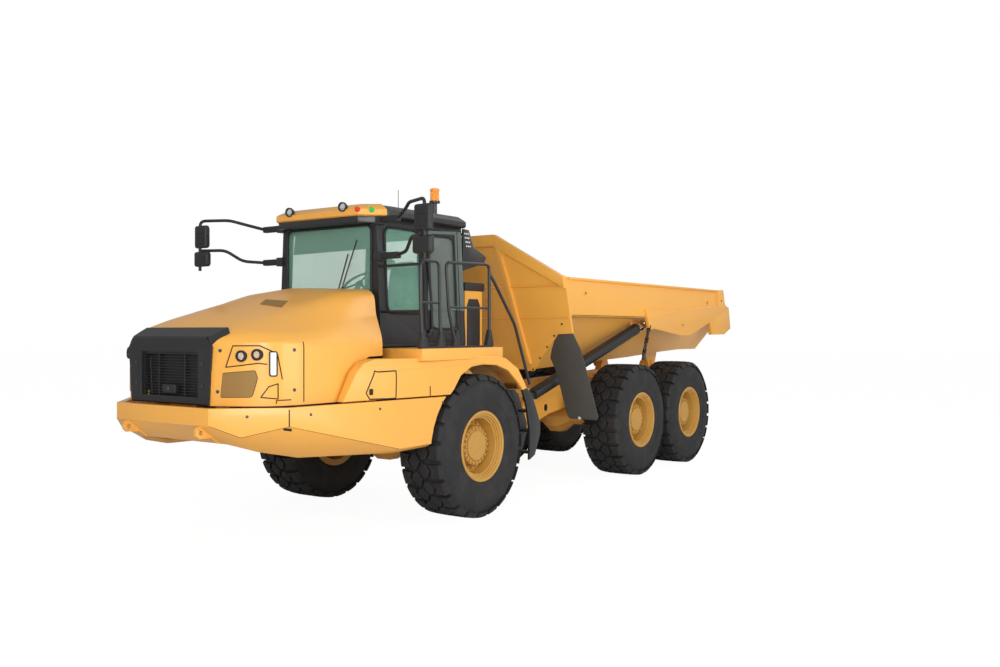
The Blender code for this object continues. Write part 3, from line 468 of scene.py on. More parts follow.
@dataclass(frozen=True)
class Cloth:
    """Woven seat cloth."""

    name: str
    colour: tuple[float, float, float]
    threads: float = 700.0

    def build(self) -> bpy.types.Material:
        """The material."""
        shader = Shader(self.name)
        weave = (shader.wave("X", self.threads) + shader.wave("Z", self.threads)) * 0.5
        worn = shader.noise(9.0, 4.0)
        return shader.surface(
            Base_Color=shader.mix(weave * 0.6 + worn * 0.4, rgba(self.colour, 0.7), rgba(self.colour, 1.5)),
            Roughness=0.9,
            Normal=shader.bump(weave, 0.0006),
            Sheen_Weight=0.3,
        )


class Finish(Enum):
    """Every finish on the truck."""

    YELLOW = Paint("yellow enamel", (0.86, 0.415, 0.068))
    # the yellow enamel darkened for the rims and their bolts: painted shade
    RIM = Paint("wheel enamel", (0.50, 0.265, 0.045), 0.5)
    BLACK = Paint("black enamel", (0.015, 0.015, 0.0165), 0.42, dust=0.04, coat=0.1)
    SHADE = Paint("shaded recess", (0.29, 0.155, 0.032), 0.6, dust=0.0, coat=0.0)
    SATIN = Paint("satin black moulding", (0.012, 0.012, 0.0135), 0.55, peel=0.0004, dust=0.04, coat=0.0)
    GREY = Paint("grey cab trim", (0.16, 0.165, 0.17), 0.6, peel=0.0004, dust=0.0, coat=0.0)
    BARE = Paint("pale blank plate", (0.72, 0.72, 0.70), 0.4, dust=0.0)
    STEEL = Metal("cast steel", (0.10, 0.10, 0.105), 0.55, 0.7, 0.0008, 60.0)
    ROD = Metal("chromed rod", (0.78, 0.78, 0.80), 0.10, 1.0, 0.00002, 300.0)
    MIRROR = Metal("mirror glass", (0.92, 0.93, 0.94), 0.02, 1.0, 0.0)
    REFLECTOR = Metal("lamp reflector", (0.9, 0.9, 0.92), 0.08, 1.0, 0.0003, 120.0)
    TYRE = Rubber("tyre rubber", (0.0165, 0.0165, 0.0175))
    SHEET = Rubber("rubber sheet", (0.075, 0.070, 0.062), 0.7, 0.0004, 0.3)
    # black rubber for seals and seams, also used as painted shade in holes, eyes and the bumper slit
    SEAL = Rubber("window seal", (0.012, 0.012, 0.013), 0.6, 0.0001, 0.0)
    GLASS = Glass("tinted window glass", (0.32, 0.66, 0.50), 0.26)
    SHADE_GLASS = Glass("dark sunshade", (0.035, 0.05, 0.045), 0.86)
    DOOR_GLASS = Glass("grey door glass", (0.15, 0.19, 0.17), 0.78)
    LAMP = Glass("clear lamp glass", (0.85, 0.88, 0.90), 0.25, 0.02, 0.0)
    AMBER = Lens("amber lens", (0.95, 0.28, 0.01), 0.25)
    RED = Lens("red lens", (0.65, 0.02, 0.02), 0.2)
    GREEN = Lens("green lens", (0.02, 0.50, 0.10), 0.2)
    WHITE = Lens("white light strip", (0.9, 0.92, 0.95), 0.3, 60.0)
    CLOTH = Cloth("seat cloth", (0.045, 0.047, 0.052))


class Paints:
    """Builds each finish once."""

    made: dict[Finish, bpy.types.Material] = {}

    @classmethod
    def get(cls, finish: Finish) -> bpy.types.Material:
        """The material of a finish.

        Args:
            finish: the finish.

        Returns:
            Its material, made at the first call.
        """
        if finish not in cls.made:
            cls.made[finish] = finish.value.build()
        return cls.made[finish]


Shape = bmesh.types.BMesh


def outward(bm: Shape) -> Shape:
    """Turns a closed shape's faces outwards."""
    bmesh.ops.recalc_face_normals(bm, faces=bm.faces)
    return bm


def loft(rings: Sequence[Sequence[Point]], closed: bool = False) -> Shape:
    """Joins rings that have as many points each.

    Args:
        rings: the rings, in order.
        closed: whether the last ring joins the first one, in place of a cap on each.

    Returns:
        The shape.
    """
    bm = bmesh.new()
    rows = [[bm.verts.new(point) for point in ring] for ring in rings]
    count = len(rows[0])
    for one, two in zip(rows, rows[1:] + rows[:1] if closed else rows[1:]):
        for i in range(count):
            j = (i + 1) % count
            bm.faces.new((one[i], one[j], two[j], two[i]))
    if not closed:
        bm.faces.new(rows[0][::-1])
        bm.faces.new(rows[-1])
    return outward(bm)


def plate(outline: Outline, axis: str, low: float, high: float) -> Shape:
    """A flat outline pushed along an axis.

    Args:
        outline: its corners.
        axis: X, Y or Z, along which it is pushed.
        low: where it starts.
        high: where it ends.

    Returns:
        The shape.
    """
    places: dict[str, Callable[[float, float, float], Point]] = {
        "X": lambda a, b, c: (c, a, b),
        "Y": lambda a, b, c: (a, c, b),
        "Z": lambda a, b, c: (a, b, c),
    }
    place = places[axis]
    return loft([[place(a, b, c) for a, b in outline] for c in (low, high)])


def slab(x: Point, y: Point, z: Point) -> Shape:
    """A block between three pairs of planes."""
    return plate(((x[0], y[0]), (x[1], y[0]), (x[1], y[1]), (x[0], y[1])), "Z", z[0], z[1])


def turned(profile: Outline, steps: int = 48) -> Shape:
    """A closed turned body about Z.

    Args:
        profile: radius and height, starting and ending on the axis where the radius is 0.
        steps: facets round.

    Returns:
        The shape.
    """
    bm = bmesh.new()
    rings = []
    for radius, height in profile:
        if radius == 0:
            rings.append([bm.verts.new((0, 0, height))])
            continue
        turns = [math.tau * i / steps for i in range(steps)]
        rings.append([bm.verts.new((radius * math.cos(a), radius * math.sin(a), height)) for a in turns])
    pairs = list(zip(rings, rings[1:]))
    if len(rings[0]) > 1:
        pairs.append((rings[-1], rings[0]))
    for one, two in pairs:
        for i in range(steps):
            j = (i + 1) % steps
            corners = [one[i % len(one)], one[j % len(one)], two[j % len(two)], two[i % len(two)]]
            bm.faces.new(list(dict.fromkeys(corners)))
    return outward(bm)


def eased(points: Sequence[Point], reach: Sequence[float], share: float = 0.48) -> list[Vector]:
    """A polyline whose inner corners are rounded.

    Args:
        points: its corners.
        reach: for each inner corner, how far from it the curve starts.
        share: the most of a side that a curve may take.

    Returns:
        The points of the rounded line, as many for any corners.
    """
    steps = 4
    corners = [Vector(p) for p in points]
    line = [corners[0]]
    for before, here, after, far in zip(corners, corners[1:], corners[2:], reach):
        start, end = (
            here + (other - here).normalized() * min(far, (other - here).length * share)
            for other in (before, after)
        )
        for t in [k / steps for k in range(steps + 1)]:
            line.append(start * (1 - t) ** 2 + here * 2 * t * (1 - t) + end * t * t)
    return [*line, corners[-1]]


def tube(points: Sequence[Point], radius: float, sides: int = 14, bend: float = 0.05) -> Shape:
    """A round bar whose corners are bent to a radius.

    Args:
        points: the corners of its middle line.
        radius: of the bar.
        sides: facets round.
        bend: how far from a corner the bend starts.

    Returns:
        The shape.
    """
    line = eased(points, [bend] * (len(points) - 2), 0.45)
    runs = [(b - a).normalized() for a, b in zip(line, line[1:])]
    up = Vector((0, 0, 1)) if abs(runs[0].z) < 0.9 else Vector((0, 1, 0))
    side = runs[0].cross(up).normalized()
    rings = []
    for k, point in enumerate(line):
        along = (runs[max(k - 1, 0)] + runs[min(k, len(runs) - 1)]).normalized()
        side = (side - side.dot(along) * along).normalized()
        over = along.cross(side)
        turns = [math.tau * (i + 0.5) / sides for i in range(sides)]
        rings.append([point + (side * math.cos(a) + over * math.sin(a)) * radius for a in turns])
    return loft(rings)


def rounded(bm: Shape, width: float, segments: int = 2, over: float = FLAT) -> Shape:
    """Bevels the sharp edges.

    Args:
        bm: the shape.
        width: of the bevel.
        segments: across the bevel.
        over: the least angle between faces.

    Returns:
        The same shape.
    """
    edges = [e for e in bm.edges if len(e.link_faces) == 2 and e.calc_face_angle(0) > over]
    bmesh.ops.bevel(
        bm, geom=edges, offset=width, segments=segments, profile=0.5, affect="EDGES", clamp_overlap=True
    )
    return bm


def moved(bm: Shape, matrix: Matrix) -> Shape:
    """Moves a shape, and turns its faces back out after a mirror.

    Args:
        bm: the shape.
        matrix: the move.

    Returns:
        The same shape.
    """
    bmesh.ops.transform(bm, matrix=matrix, verts=bm.verts)
    if matrix.determinant() < 0:
        bmesh.ops.reverse_faces(bm, faces=bm.faces)
    return bm


def shifted(bm: Shape, place: Point) -> Shape:
    """Moves a shape by a vector."""
    return moved(bm, Matrix.Translation(Vector(place)))


def facing(axis: Point, place: Point) -> Matrix:
    """The placement that stands +Z along an axis at a place."""
    return Matrix.Translation(Vector(place)) @ Vector(axis).to_track_quat("Z", "Y").to_matrix().to_4x4()


def disc(radius: float, low: float, high: float, steps: int = 20) -> Shape:
    """A round plate about Z between two heights."""
    return turned(((0, low), (radius, low), (radius, high), (0, high)), steps)


def standing(bm: Shape, axis: Point, place: Point) -> Shape:
    """Moves a shape so that its +Z stands along an axis at a place."""
    return moved(bm, facing(axis, place))


def joined(shapes: Iterable[Shape]) -> Shape:
    """Several shapes as one.

    Args:
        shapes: the shapes, which are freed.

    Returns:
        The new shape.
    """
    total = bmesh.new()
    for bm in shapes:
        mesh = bpy.data.meshes.new("part")
        bm.to_mesh(mesh)
        bm.free()
        total.from_mesh(mesh)
        bpy.data.meshes.remove(mesh)
    return total


def mirrored(bm: Shape) -> Shape:
    """A copy on the vehicle's other side."""
    return moved(bm.copy(), Matrix.Scale(-1, 4, (1, 0, 0)))


def both(bm: Shape) -> list[Shape]:
    """The shape and its copy on the other side."""
    return [bm, mirrored(bm)]


def add(
    name: str,
    bm: Shape,
    body: str,
    finish: Finish,
    slot: Slot,
    replaces: Sequence[str] = (),
    local: bool = True,
    sharp: float = FLAT,
) -> bpy.types.Object:
    """Makes a shape a piece of the truck.

    Args:
        name: the piece's name.
        bm: its shape, which is freed.
        body: the body that it rides on.
        finish: its finish.
        slot: the record's slot that the finish comes from; not used.
        replaces: the nodes that it stands for.
        local: whether its lengths along Y are measured from the front axle.
        sharp: edges over this angle stay sharp.

    Returns:
        The piece.
    """
    if local:
        shifted(bm, FORWARD)
    mesh = bpy.data.meshes.new(name)
    bm.to_mesh(mesh)
    bm.free()
    mesh.materials.clear()
    mesh.materials.append(Paints.get(finish))
    mesh.shade_smooth()
    mesh.set_sharp_from_angle(angle=sharp)
    piece = bpy.data.objects.new(name, mesh)
    bpy.context.scene.collection.objects.link(piece)
    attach(piece, body)
    if replaces:
        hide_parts(*replaces)
    LOG.info("%s on %s: %d faces", name, body, len(mesh.polygons))
    return piece


class ArrayTree:
    """Geometry Nodes that repeat a shape along a ring, a row or both."""

    tree: bpy.types.NodeTree | None = None
    INPUTS = (
        ("Stud", "NodeSocketObject"),
        ("Count", "NodeSocketInt"),
        ("Radius", "NodeSocketFloat"),
        ("Turn", "NodeSocketFloat"),
        ("Angle Step", "NodeSocketFloat"),
        ("Step", "NodeSocketVector"),
        ("Finish", "NodeSocketMaterial"),
    )

    @classmethod
    def build(cls) -> bpy.types.NodeTree:
        """The tree, made at the first call.

        Returns:
            The node tree.
        """
        if cls.tree:
            return cls.tree
        tree = bpy.data.node_groups.new("repeat along a ring or row", "GeometryNodeTree")
        for name, kind in cls.INPUTS:
            tree.interface.new_socket(name, in_out="INPUT", socket_type=kind)
        tree.interface.new_socket("Geometry", in_out="OUTPUT", socket_type="NodeSocketGeometry")
        new, link = tree.nodes.new, tree.links.new
        given, result = new("NodeGroupInput"), new("NodeGroupOutput")
        given_out = given.outputs
        index = new("GeometryNodeInputIndex").outputs[0]

        def calc(operation: str, *operands: bpy.types.NodeSocket) -> bpy.types.NodeSocket:
            """One Math node on linked operands."""
            node = new("ShaderNodeMath")
            node.operation = operation
            for i, operand in enumerate(operands):
                link(operand, node.inputs[i])
            return node.outputs[0]

        angle = calc("ADD", calc("MULTIPLY", index, given_out["Angle Step"]), given_out["Turn"])
        spoke, spin = new("ShaderNodeCombineXYZ"), new("ShaderNodeCombineXYZ")
        link(calc("MULTIPLY", calc("COSINE", angle), given_out["Radius"]), spoke.inputs["X"])
        link(calc("MULTIPLY", calc("SINE", angle), given_out["Radius"]), spoke.inputs["Y"])
        link(angle, spin.inputs["Z"])
        along, place = new("ShaderNodeVectorMath"), new("ShaderNodeVectorMath")
        along.operation = "SCALE"
        link(given_out["Step"], along.inputs[0])
        link(index, along.inputs["Scale"])
        link(spoke.outputs[0], place.inputs[0])
        link(along.outputs[0], place.inputs[1])
        points = new("GeometryNodePoints")
        link(given_out["Count"], points.inputs["Count"])
        link(place.outputs[0], points.inputs["Position"])
        stud = new("GeometryNodeObjectInfo")
        link(given_out["Stud"], stud.inputs["Object"])
        copies = new("GeometryNodeInstanceOnPoints")
        link(points.outputs[0], copies.inputs["Points"])
        link(stud.outputs["Geometry"], copies.inputs["Instance"])
        link(spin.outputs[0], copies.inputs["Rotation"])
        real = new("GeometryNodeRealizeInstances")
        link(copies.outputs[0], real.inputs[0])
        coat = new("GeometryNodeSetMaterial")
        link(real.outputs[0], coat.inputs["Geometry"])
        link(given_out["Finish"], coat.inputs["Material"])
        link(coat.outputs[0], result.inputs[0])
        cls.tree = tree
        return tree

    @classmethod
    def repeat(cls, stud: Shape, finish: Finish, count: int, **sizes: float | Point) -> Shape:
        """Repeats a shape.

        Args:
            stud: the shape, which is freed.
            finish: its finish.
            count: how many copies.
            sizes: the tree's other inputs, with spaces written as underscores.

        Returns:
            The copies as one shape.
        """
        tree = cls.build()
        mesh = bpy.data.meshes.new("stud")
        stud.to_mesh(mesh)
        stud.free()
        source = bpy.data.objects.new("stud", mesh)
        host = bpy.data.objects.new("host", bpy.data.meshes.new("host"))
        for obj in (source, host):
            bpy.context.scene.collection.objects.link(obj)
        modifier = host.modifiers.new("repeat", "NODES")
        modifier.node_group = tree
        inputs = [item for item in tree.interface.items_tree if item.in_out == "INPUT"]
        names = {item.name: item.identifier for item in inputs}
        given = {"Stud": source, "Count": count, "Finish": Paints.get(finish)}
        given |= {key.replace("_", " "): value for key, value in sizes.items()}
        for key, value in given.items():
            modifier[names[key]] = value
        graph = bpy.context.evaluated_depsgraph_get()
        made = bpy.data.meshes.new_from_object(host.evaluated_get(graph))
        result = bmesh.new()
        result.from_mesh(made)
        for obj in (source, host):
            bpy.data.objects.remove(obj)
        bpy.data.meshes.remove(made)
        return result

    @classmethod
    def ring(cls, stud: Shape, finish: Finish, count: int, radius: float, turn: float = 0.0) -> Shape:
        """A shape repeated round Z.

        Args:
            stud: the shape, at the middle.
            finish: its finish.
            count: copies round.
            radius: of the ring.
            turn: angle of the first.

        Returns:
            The ring.
        """
        return cls.repeat(stud, finish, count, Radius=radius, Turn=turn, Angle_Step=math.tau / count)

    @classmethod
    def row(cls, stud: Shape, finish: Finish, count: int, step: Point) -> Shape:
        """A shape repeated along a line.

        Args:
            stud: the first.
            finish: its finish.
            count: copies.
            step: from one to the next.

        Returns:
            The row.
        """
        return cls.repeat(stud, finish, count, Step=tuple(step))


def hex_bolt(across: float = 0.024, height: float = 0.012, washer: float = 1.35) -> Shape:
    """A bolt's head on its washer, standing on z = 0.

    Args:
        across: over its flats.
        height: of the head.
        washer: its radius against the head's.

    Returns:
        The shape.
    """
    radius = across / math.sqrt(3)
    thin = height * 0.2
    profile = ((0, thin), (radius, thin), (radius, height * 0.85), (radius * 0.85, height), (0, height))
    return joined((disc(radius * washer, 0, thin, 12), turned(profile, 6)))


def bolts(places: Sequence[Point], axis: Point, across: float = 0.024) -> Shape:
    """Bolt heads at several places that face one way.

    Args:
        places: where their washers sit.
        axis: which way they face.
        across: over the flats.

    Returns:
        The heads.
    """
    return joined(moved(hex_bolt(across, across / 2), facing(axis, place)) for place in places)


@dataclass
class Carried:
    """A node whose form is kept: its copy gets softened edges and a finish."""

    node: str
    finish: Finish
    slot: Slot
    width: float = 0.004
    angle: float = 35.0

    def dress(self) -> None:
        """Replaces the node by its softened copy."""
        source = frame["nodes"][self.node]
        bm = bmesh.new()
        bm.from_mesh(source.data)
        bmesh.ops.remove_doubles(bm, verts=bm.verts, dist=0.00002)
        bmesh.ops.dissolve_limit(
            bm, angle_limit=math.radians(0.5), verts=bm.verts, edges=bm.edges, use_dissolve_boundaries=False
        )
        if self.width:
            rounded(bm, self.width, 2, math.radians(self.angle))
        body = body_of(source)[0]
        add(f"{self.node}_skin", bm, body, self.finish, self.slot, [self.node], local=False,
            sharp=math.radians(32))


@dataclass
class Wheel:
    """A wide earthmover tyre with interlocked blocks on a dished rim with a planetary hub."""

    row: str
    side: Side
    radius: float = 0.808
    half: float = 0.2985
    pitches: int = 24
    groove: float = 0.036
    shoulder_out: float = 0.262
    bead: float = 0.362
    flange: float = 0.40
    steps: int = 96

    def crown(self, x: float) -> float:
        """The tread's radius at a distance from the wheel's middle plane."""
        edge = max(abs(x) - 0.18, 0) / 0.082
        return self.radius - 0.008 * edge * edge

    def block(self, columns: Sequence[tuple[float, float, float]], side: int, phase: float) -> Shape:
        """One tread block.

        Args:
            columns: for each column its X in the middle, its X at the ends and its half length in pitches.
            side: which half of the tread, by the sign of X.
            phase: how far round it sits, in pitches.

        Returns:
            The block in the wheel's frame, about Z.
        """
        pitch = math.tau / self.pitches
        bm = bmesh.new()
        shares = (-1.0, -0.5, 0.0, 0.5, 1.0)

        def spot(column: int, share: float, drop: float, inset: float) -> Point:
            """One corner of the block.

            Args:
                column: 0 for the inner side of the block and 1 for the outer one.
                share: where along the column it lies, from -1 to 1.
                drop: how far below the tread it lies.
                inset: how far it is drawn in.

            Returns:
                The corner's place.
            """
            middle, ends, half = columns[column]
            towards = 1 if column == 0 else -1
            x = middle + (ends - middle) * abs(share) + towards * inset
            angle = (phase + share * (half - inset * 3)) * pitch
            low = min(drop, self.crown(x) - 0.70 if column else drop)
            radius = self.crown(x) - low
            out = side * (x + (0.028 if column and drop > 0.02 and middle > 0.2 else 0.0))
            return (radius * math.cos(angle), radius * math.sin(angle), out)

        layers = ((0.0, 0.006), (0.005, 0.0), (0.055, -0.002))
        rings = []
        for drop, inset in layers:
            ring = [bm.verts.new(spot(0, share, drop, inset)) for share in shares]
            ring += [bm.verts.new(spot(1, share, drop, inset)) for share in reversed(shares)]
            rings.append(ring)
        count = len(rings[0])
        for one, two in zip(rings, rings[1:]):
            for i in range(count):
                j = (i + 1) % count
                bm.faces.new((one[i], one[j], two[j], two[i]))
        top, last = rings[0], len(shares) - 1
        for i in range(last):
            bm.faces.new((top[i], top[i + 1], top[count - 2 - i], top[count - 1 - i]))
        bm.faces.new(rings[-1])
        return outward(bm)

    def tyre(self) -> Shape:
        """The whole tyre about Z."""
        floor = self.radius - self.groove
        wall = (
            (0.0, floor), (0.12, floor - 0.001), (0.22, floor - 0.010), (0.262, floor - 0.026),
            (0.284, 0.700), (0.2945, 0.650), (self.half, 0.590), (0.2965, 0.540), (0.2965, 0.532),
            (0.2925, 0.530), (0.2900, 0.500), (0.2880, 0.470), (0.2860, 0.462), (0.2880, 0.455),
            (0.2830, 0.430), (0.2720, 0.405), (0.2600, 0.385), (0.2550, self.bead),
        )
        profile = [(r, x) for x, r in wall] + [(r, -x) for x, r in reversed(wall[1:])]
        parts = [turned(profile, self.steps)]
        centre = ((-0.016, 0.042, 0.435), (0.132, 0.094, 0.36))
        shoulder = ((0.162, 0.124, 0.36), (self.shoulder_out, self.shoulder_out, 0.39))
        for side, phase in ((1, 0.0), (-1, 0.5)):
            for columns in (centre, shoulder):
                lug = self.block(columns, side, phase)
                parts.append(ArrayTree.ring(lug, Finish.TYRE, self.pitches, 0.0))
        return joined(parts)

    def rim(self) -> Shape:
        """The rim with its hub and bolts, dished towards +Z."""
        profile = (
            (0, 0.200), (0.060, 0.200), (0.066, 0.196), (0.160, 0.196), (0.168, 0.190), (0.172, 0.174),
            (0.216, 0.170), (0.222, 0.162), (0.226, 0.105), (0.236, 0.085), (0.284, 0.070), (0.298, 0.080),
            (0.312, 0.190), (0.316, 0.214), (0.330, 0.217), (0.333, 0.236), (0.346, 0.239), (0.349, 0.258),
            (0.362, 0.262), (0.366, 0.278), (0.378, 0.284),
            (0.392, 0.284), (self.flange, 0.276), (self.flange - 0.002, 0.268), (0.360, 0.252), (0.353, 0.24),
            (0.353, -0.24), (0.360, -0.252), (self.flange, -0.270), (self.flange, -0.284), (0.325, -0.284),
            (0.322, 0.03), (0.108, 0.03), (0.108, 0.14), (0, 0.14),
        )
        shapes = [turned(profile, self.steps)]
        ring = ArrayTree.ring
        shapes.append(shifted(ring(hex_bolt(0.026, 0.020), Finish.RIM, 20, 0.198), (0, 0, 0.171)))
        shapes.append(shifted(ring(hex_bolt(0.028, 0.026), Finish.RIM, 20, 0.262, 0.13), (0, 0, 0.076)))
        plug = turned(((0, 0.19), (0.018, 0.19), (0.018, 0.200), (0.012, 0.204), (0, 0.204)), 16)
        shapes.append(shifted(plug, (0.0, -0.10, 0.0)))
        valve = turned(((0, 0.0), (0.008, 0.0), (0.008, 0.05), (0.005, 0.055), (0, 0.055)), 10)
        shapes.append(moved(valve, facing((-0.2, 0, 1), (0.31, 0, 0.13))))
        return joined(shapes)

    def build(self) -> None:
        """Adds the wheel's two pieces."""
        place = joint_place(f"wheel_{self.row}_{self.side.word}_spin")
        turn = Matrix.Rotation(math.radians(90 * self.side.value), 4, "Y")
        spot = Matrix.Translation(place) @ turn
        body = f"wheel_{self.row}_{self.side.word}"
        ends = (f"tyre_{self.row}_{self.side.word}", f"rim_{self.row}_{self.side.word}")
        add(f"tyre_tread_{self.row}_{self.side.word}", moved(self.tyre(), spot), body, Finish.TYRE, Slot.TYRE,
            [ends[0]], local=False, sharp=math.radians(25))
        add(f"dished_rim_{self.row}_{self.side.word}", moved(self.rim(), spot), body, Finish.RIM, Slot.YELLOW,
            [ends[1]], local=False, sharp=math.radians(28))


class Skin:
    """A surface that trim is laid on."""

    def __init__(self, bm: Shape) -> None:
        """Keeps a search tree of the shape."""
        self.tree = BVHTree.FromBMesh(bm)

    def onto(self, point: Point, lift: float = 0.0) -> Vector:
        """The surface's nearest place to a point.

        Args:
            point: the point.
            lift: how far above the surface the result lies.

        Returns:
            The place.
        """
        place, normal, _, _ = self.tree.find_nearest(Vector(point))
        return place + normal * lift

    def line(self, points: Sequence[Point], lift: float = 0.0, step: float = 0.04) -> list[Vector]:
        """A polyline laid on the surface.

        Args:
            points: its corners.
            lift: how far above the surface it lies.
            step: the distance between laid points.

        Returns:
            The laid points.
        """
        laid = []
        for one, two in zip(points, points[1:]):
            start, end = Vector(one), Vector(two)
            count = max(1, math.ceil((end - start).length / step))
            laid += [self.onto(start.lerp(end, k / count), lift) for k in range(count)]
        return [*laid, self.onto(points[-1], lift)]

    def seam(self, points: Sequence[Point], radius: float = 0.0055) -> Shape:
        """A dark bead half sunk in the surface, where two panels meet."""
        return tube(self.line(points, radius * 0.1), radius, 6, 0.004)

    def patch(self, top: Sequence[Point], bottom: Sequence[Point], lift: float, depth: float = 0.02) -> Shape:
        """A closed sheet laid on the surface between two edges.

        Args:
            top: corners of the upper edge.
            bottom: corners of the lower edge, as many as the upper one's.
            lift: how far the sheet stands above the surface.
            depth: its thickness.

        Returns:
            The sheet.
        """
        columns, rows = 10, 10
        grid = []
        for t in [k / rows for k in range(rows + 1)]:
            row = []
            for i in range(len(top) - 1):
                for s in [k / columns for k in range(columns)]:
                    high = Vector(top[i]).lerp(Vector(top[i + 1]), s)
                    low = Vector(bottom[i]).lerp(Vector(bottom[i + 1]), s)
                    row.append(high.lerp(low, t))
            row.append(Vector(top[-1]).lerp(Vector(bottom[-1]), t))
            grid.append(row)
        bm = bmesh.new()
        layers = []
        for rise in (lift, lift - depth):
            layers.append([[bm.verts.new(self.onto(point, rise)) for point in row] for row in grid])
        wide = len(grid[0])
        for layer in layers:
            for i in range(rows):
                for j in range(wide - 1):
                    bm.faces.new((layer[i][j], layer[i][j + 1], layer[i + 1][j + 1], layer[i + 1][j]))
        rim = [(0, j) for j in range(wide)] + [(i, wide - 1) for i in range(1, rows + 1)]
        rim += [(rows, j) for j in range(wide - 2, -1, -1)] + [(i, 0) for i in range(rows - 1, 0, -1)]
        for (i, j), (k, m) in zip(rim, rim[1:] + rim[:1]):
            bm.faces.new((layers[0][i][j], layers[0][k][m], layers[1][k][m], layers[1][i][j]))
        return outward(bm)


def through(rows: Sequence[Sequence[float]], steps: int) -> list[list[float]]:
    """Puts smooth steps between rows of numbers, by a Catmull-Rom curve.

    Args:
        rows: the rows, as long as each other.
        steps: how many rows each one becomes.

    Returns:
        The finer rows.
    """
    made = []
    for i in range(len(rows) - 1):
        a, b, c, d = rows[max(i - 1, 0)], rows[i], rows[i + 1], rows[min(i + 2, len(rows) - 1)]
        for k in range(steps):
            t = k / steps
            made.append([
                0.5 * (2 * q + (r - p) * t
                       + (2 * p - 5 * q + 4 * r - s) * t * t
                       + (3 * q - p - 3 * r + s) * t**3)
                for p, q, r, s in zip(a, b, c, d)
            ])
    return [*made, list(rows[-1])]


def trim(name: str, shapes: Sequence[Shape], body: str, finish: Finish, slot: Slot = Slot.BLACK,
         replaces: Sequence[str] = (), sharp: float = FLAT) -> bpy.types.Object:
    """Adds several shapes, given from the front axle, as one piece.

    Args:
        name: the piece's name.
        shapes: what it is made of, which is freed.
        body: the body that it rides on.
        finish: its finish.
        slot: the record's slot that the finish comes from; not used.
        replaces: the nodes that it stands for.
        sharp: edges over this angle stay sharp.

    Returns:
        The piece.
    """
    return add(name, joined(shapes), body, finish, slot, replaces, sharp=sharp)


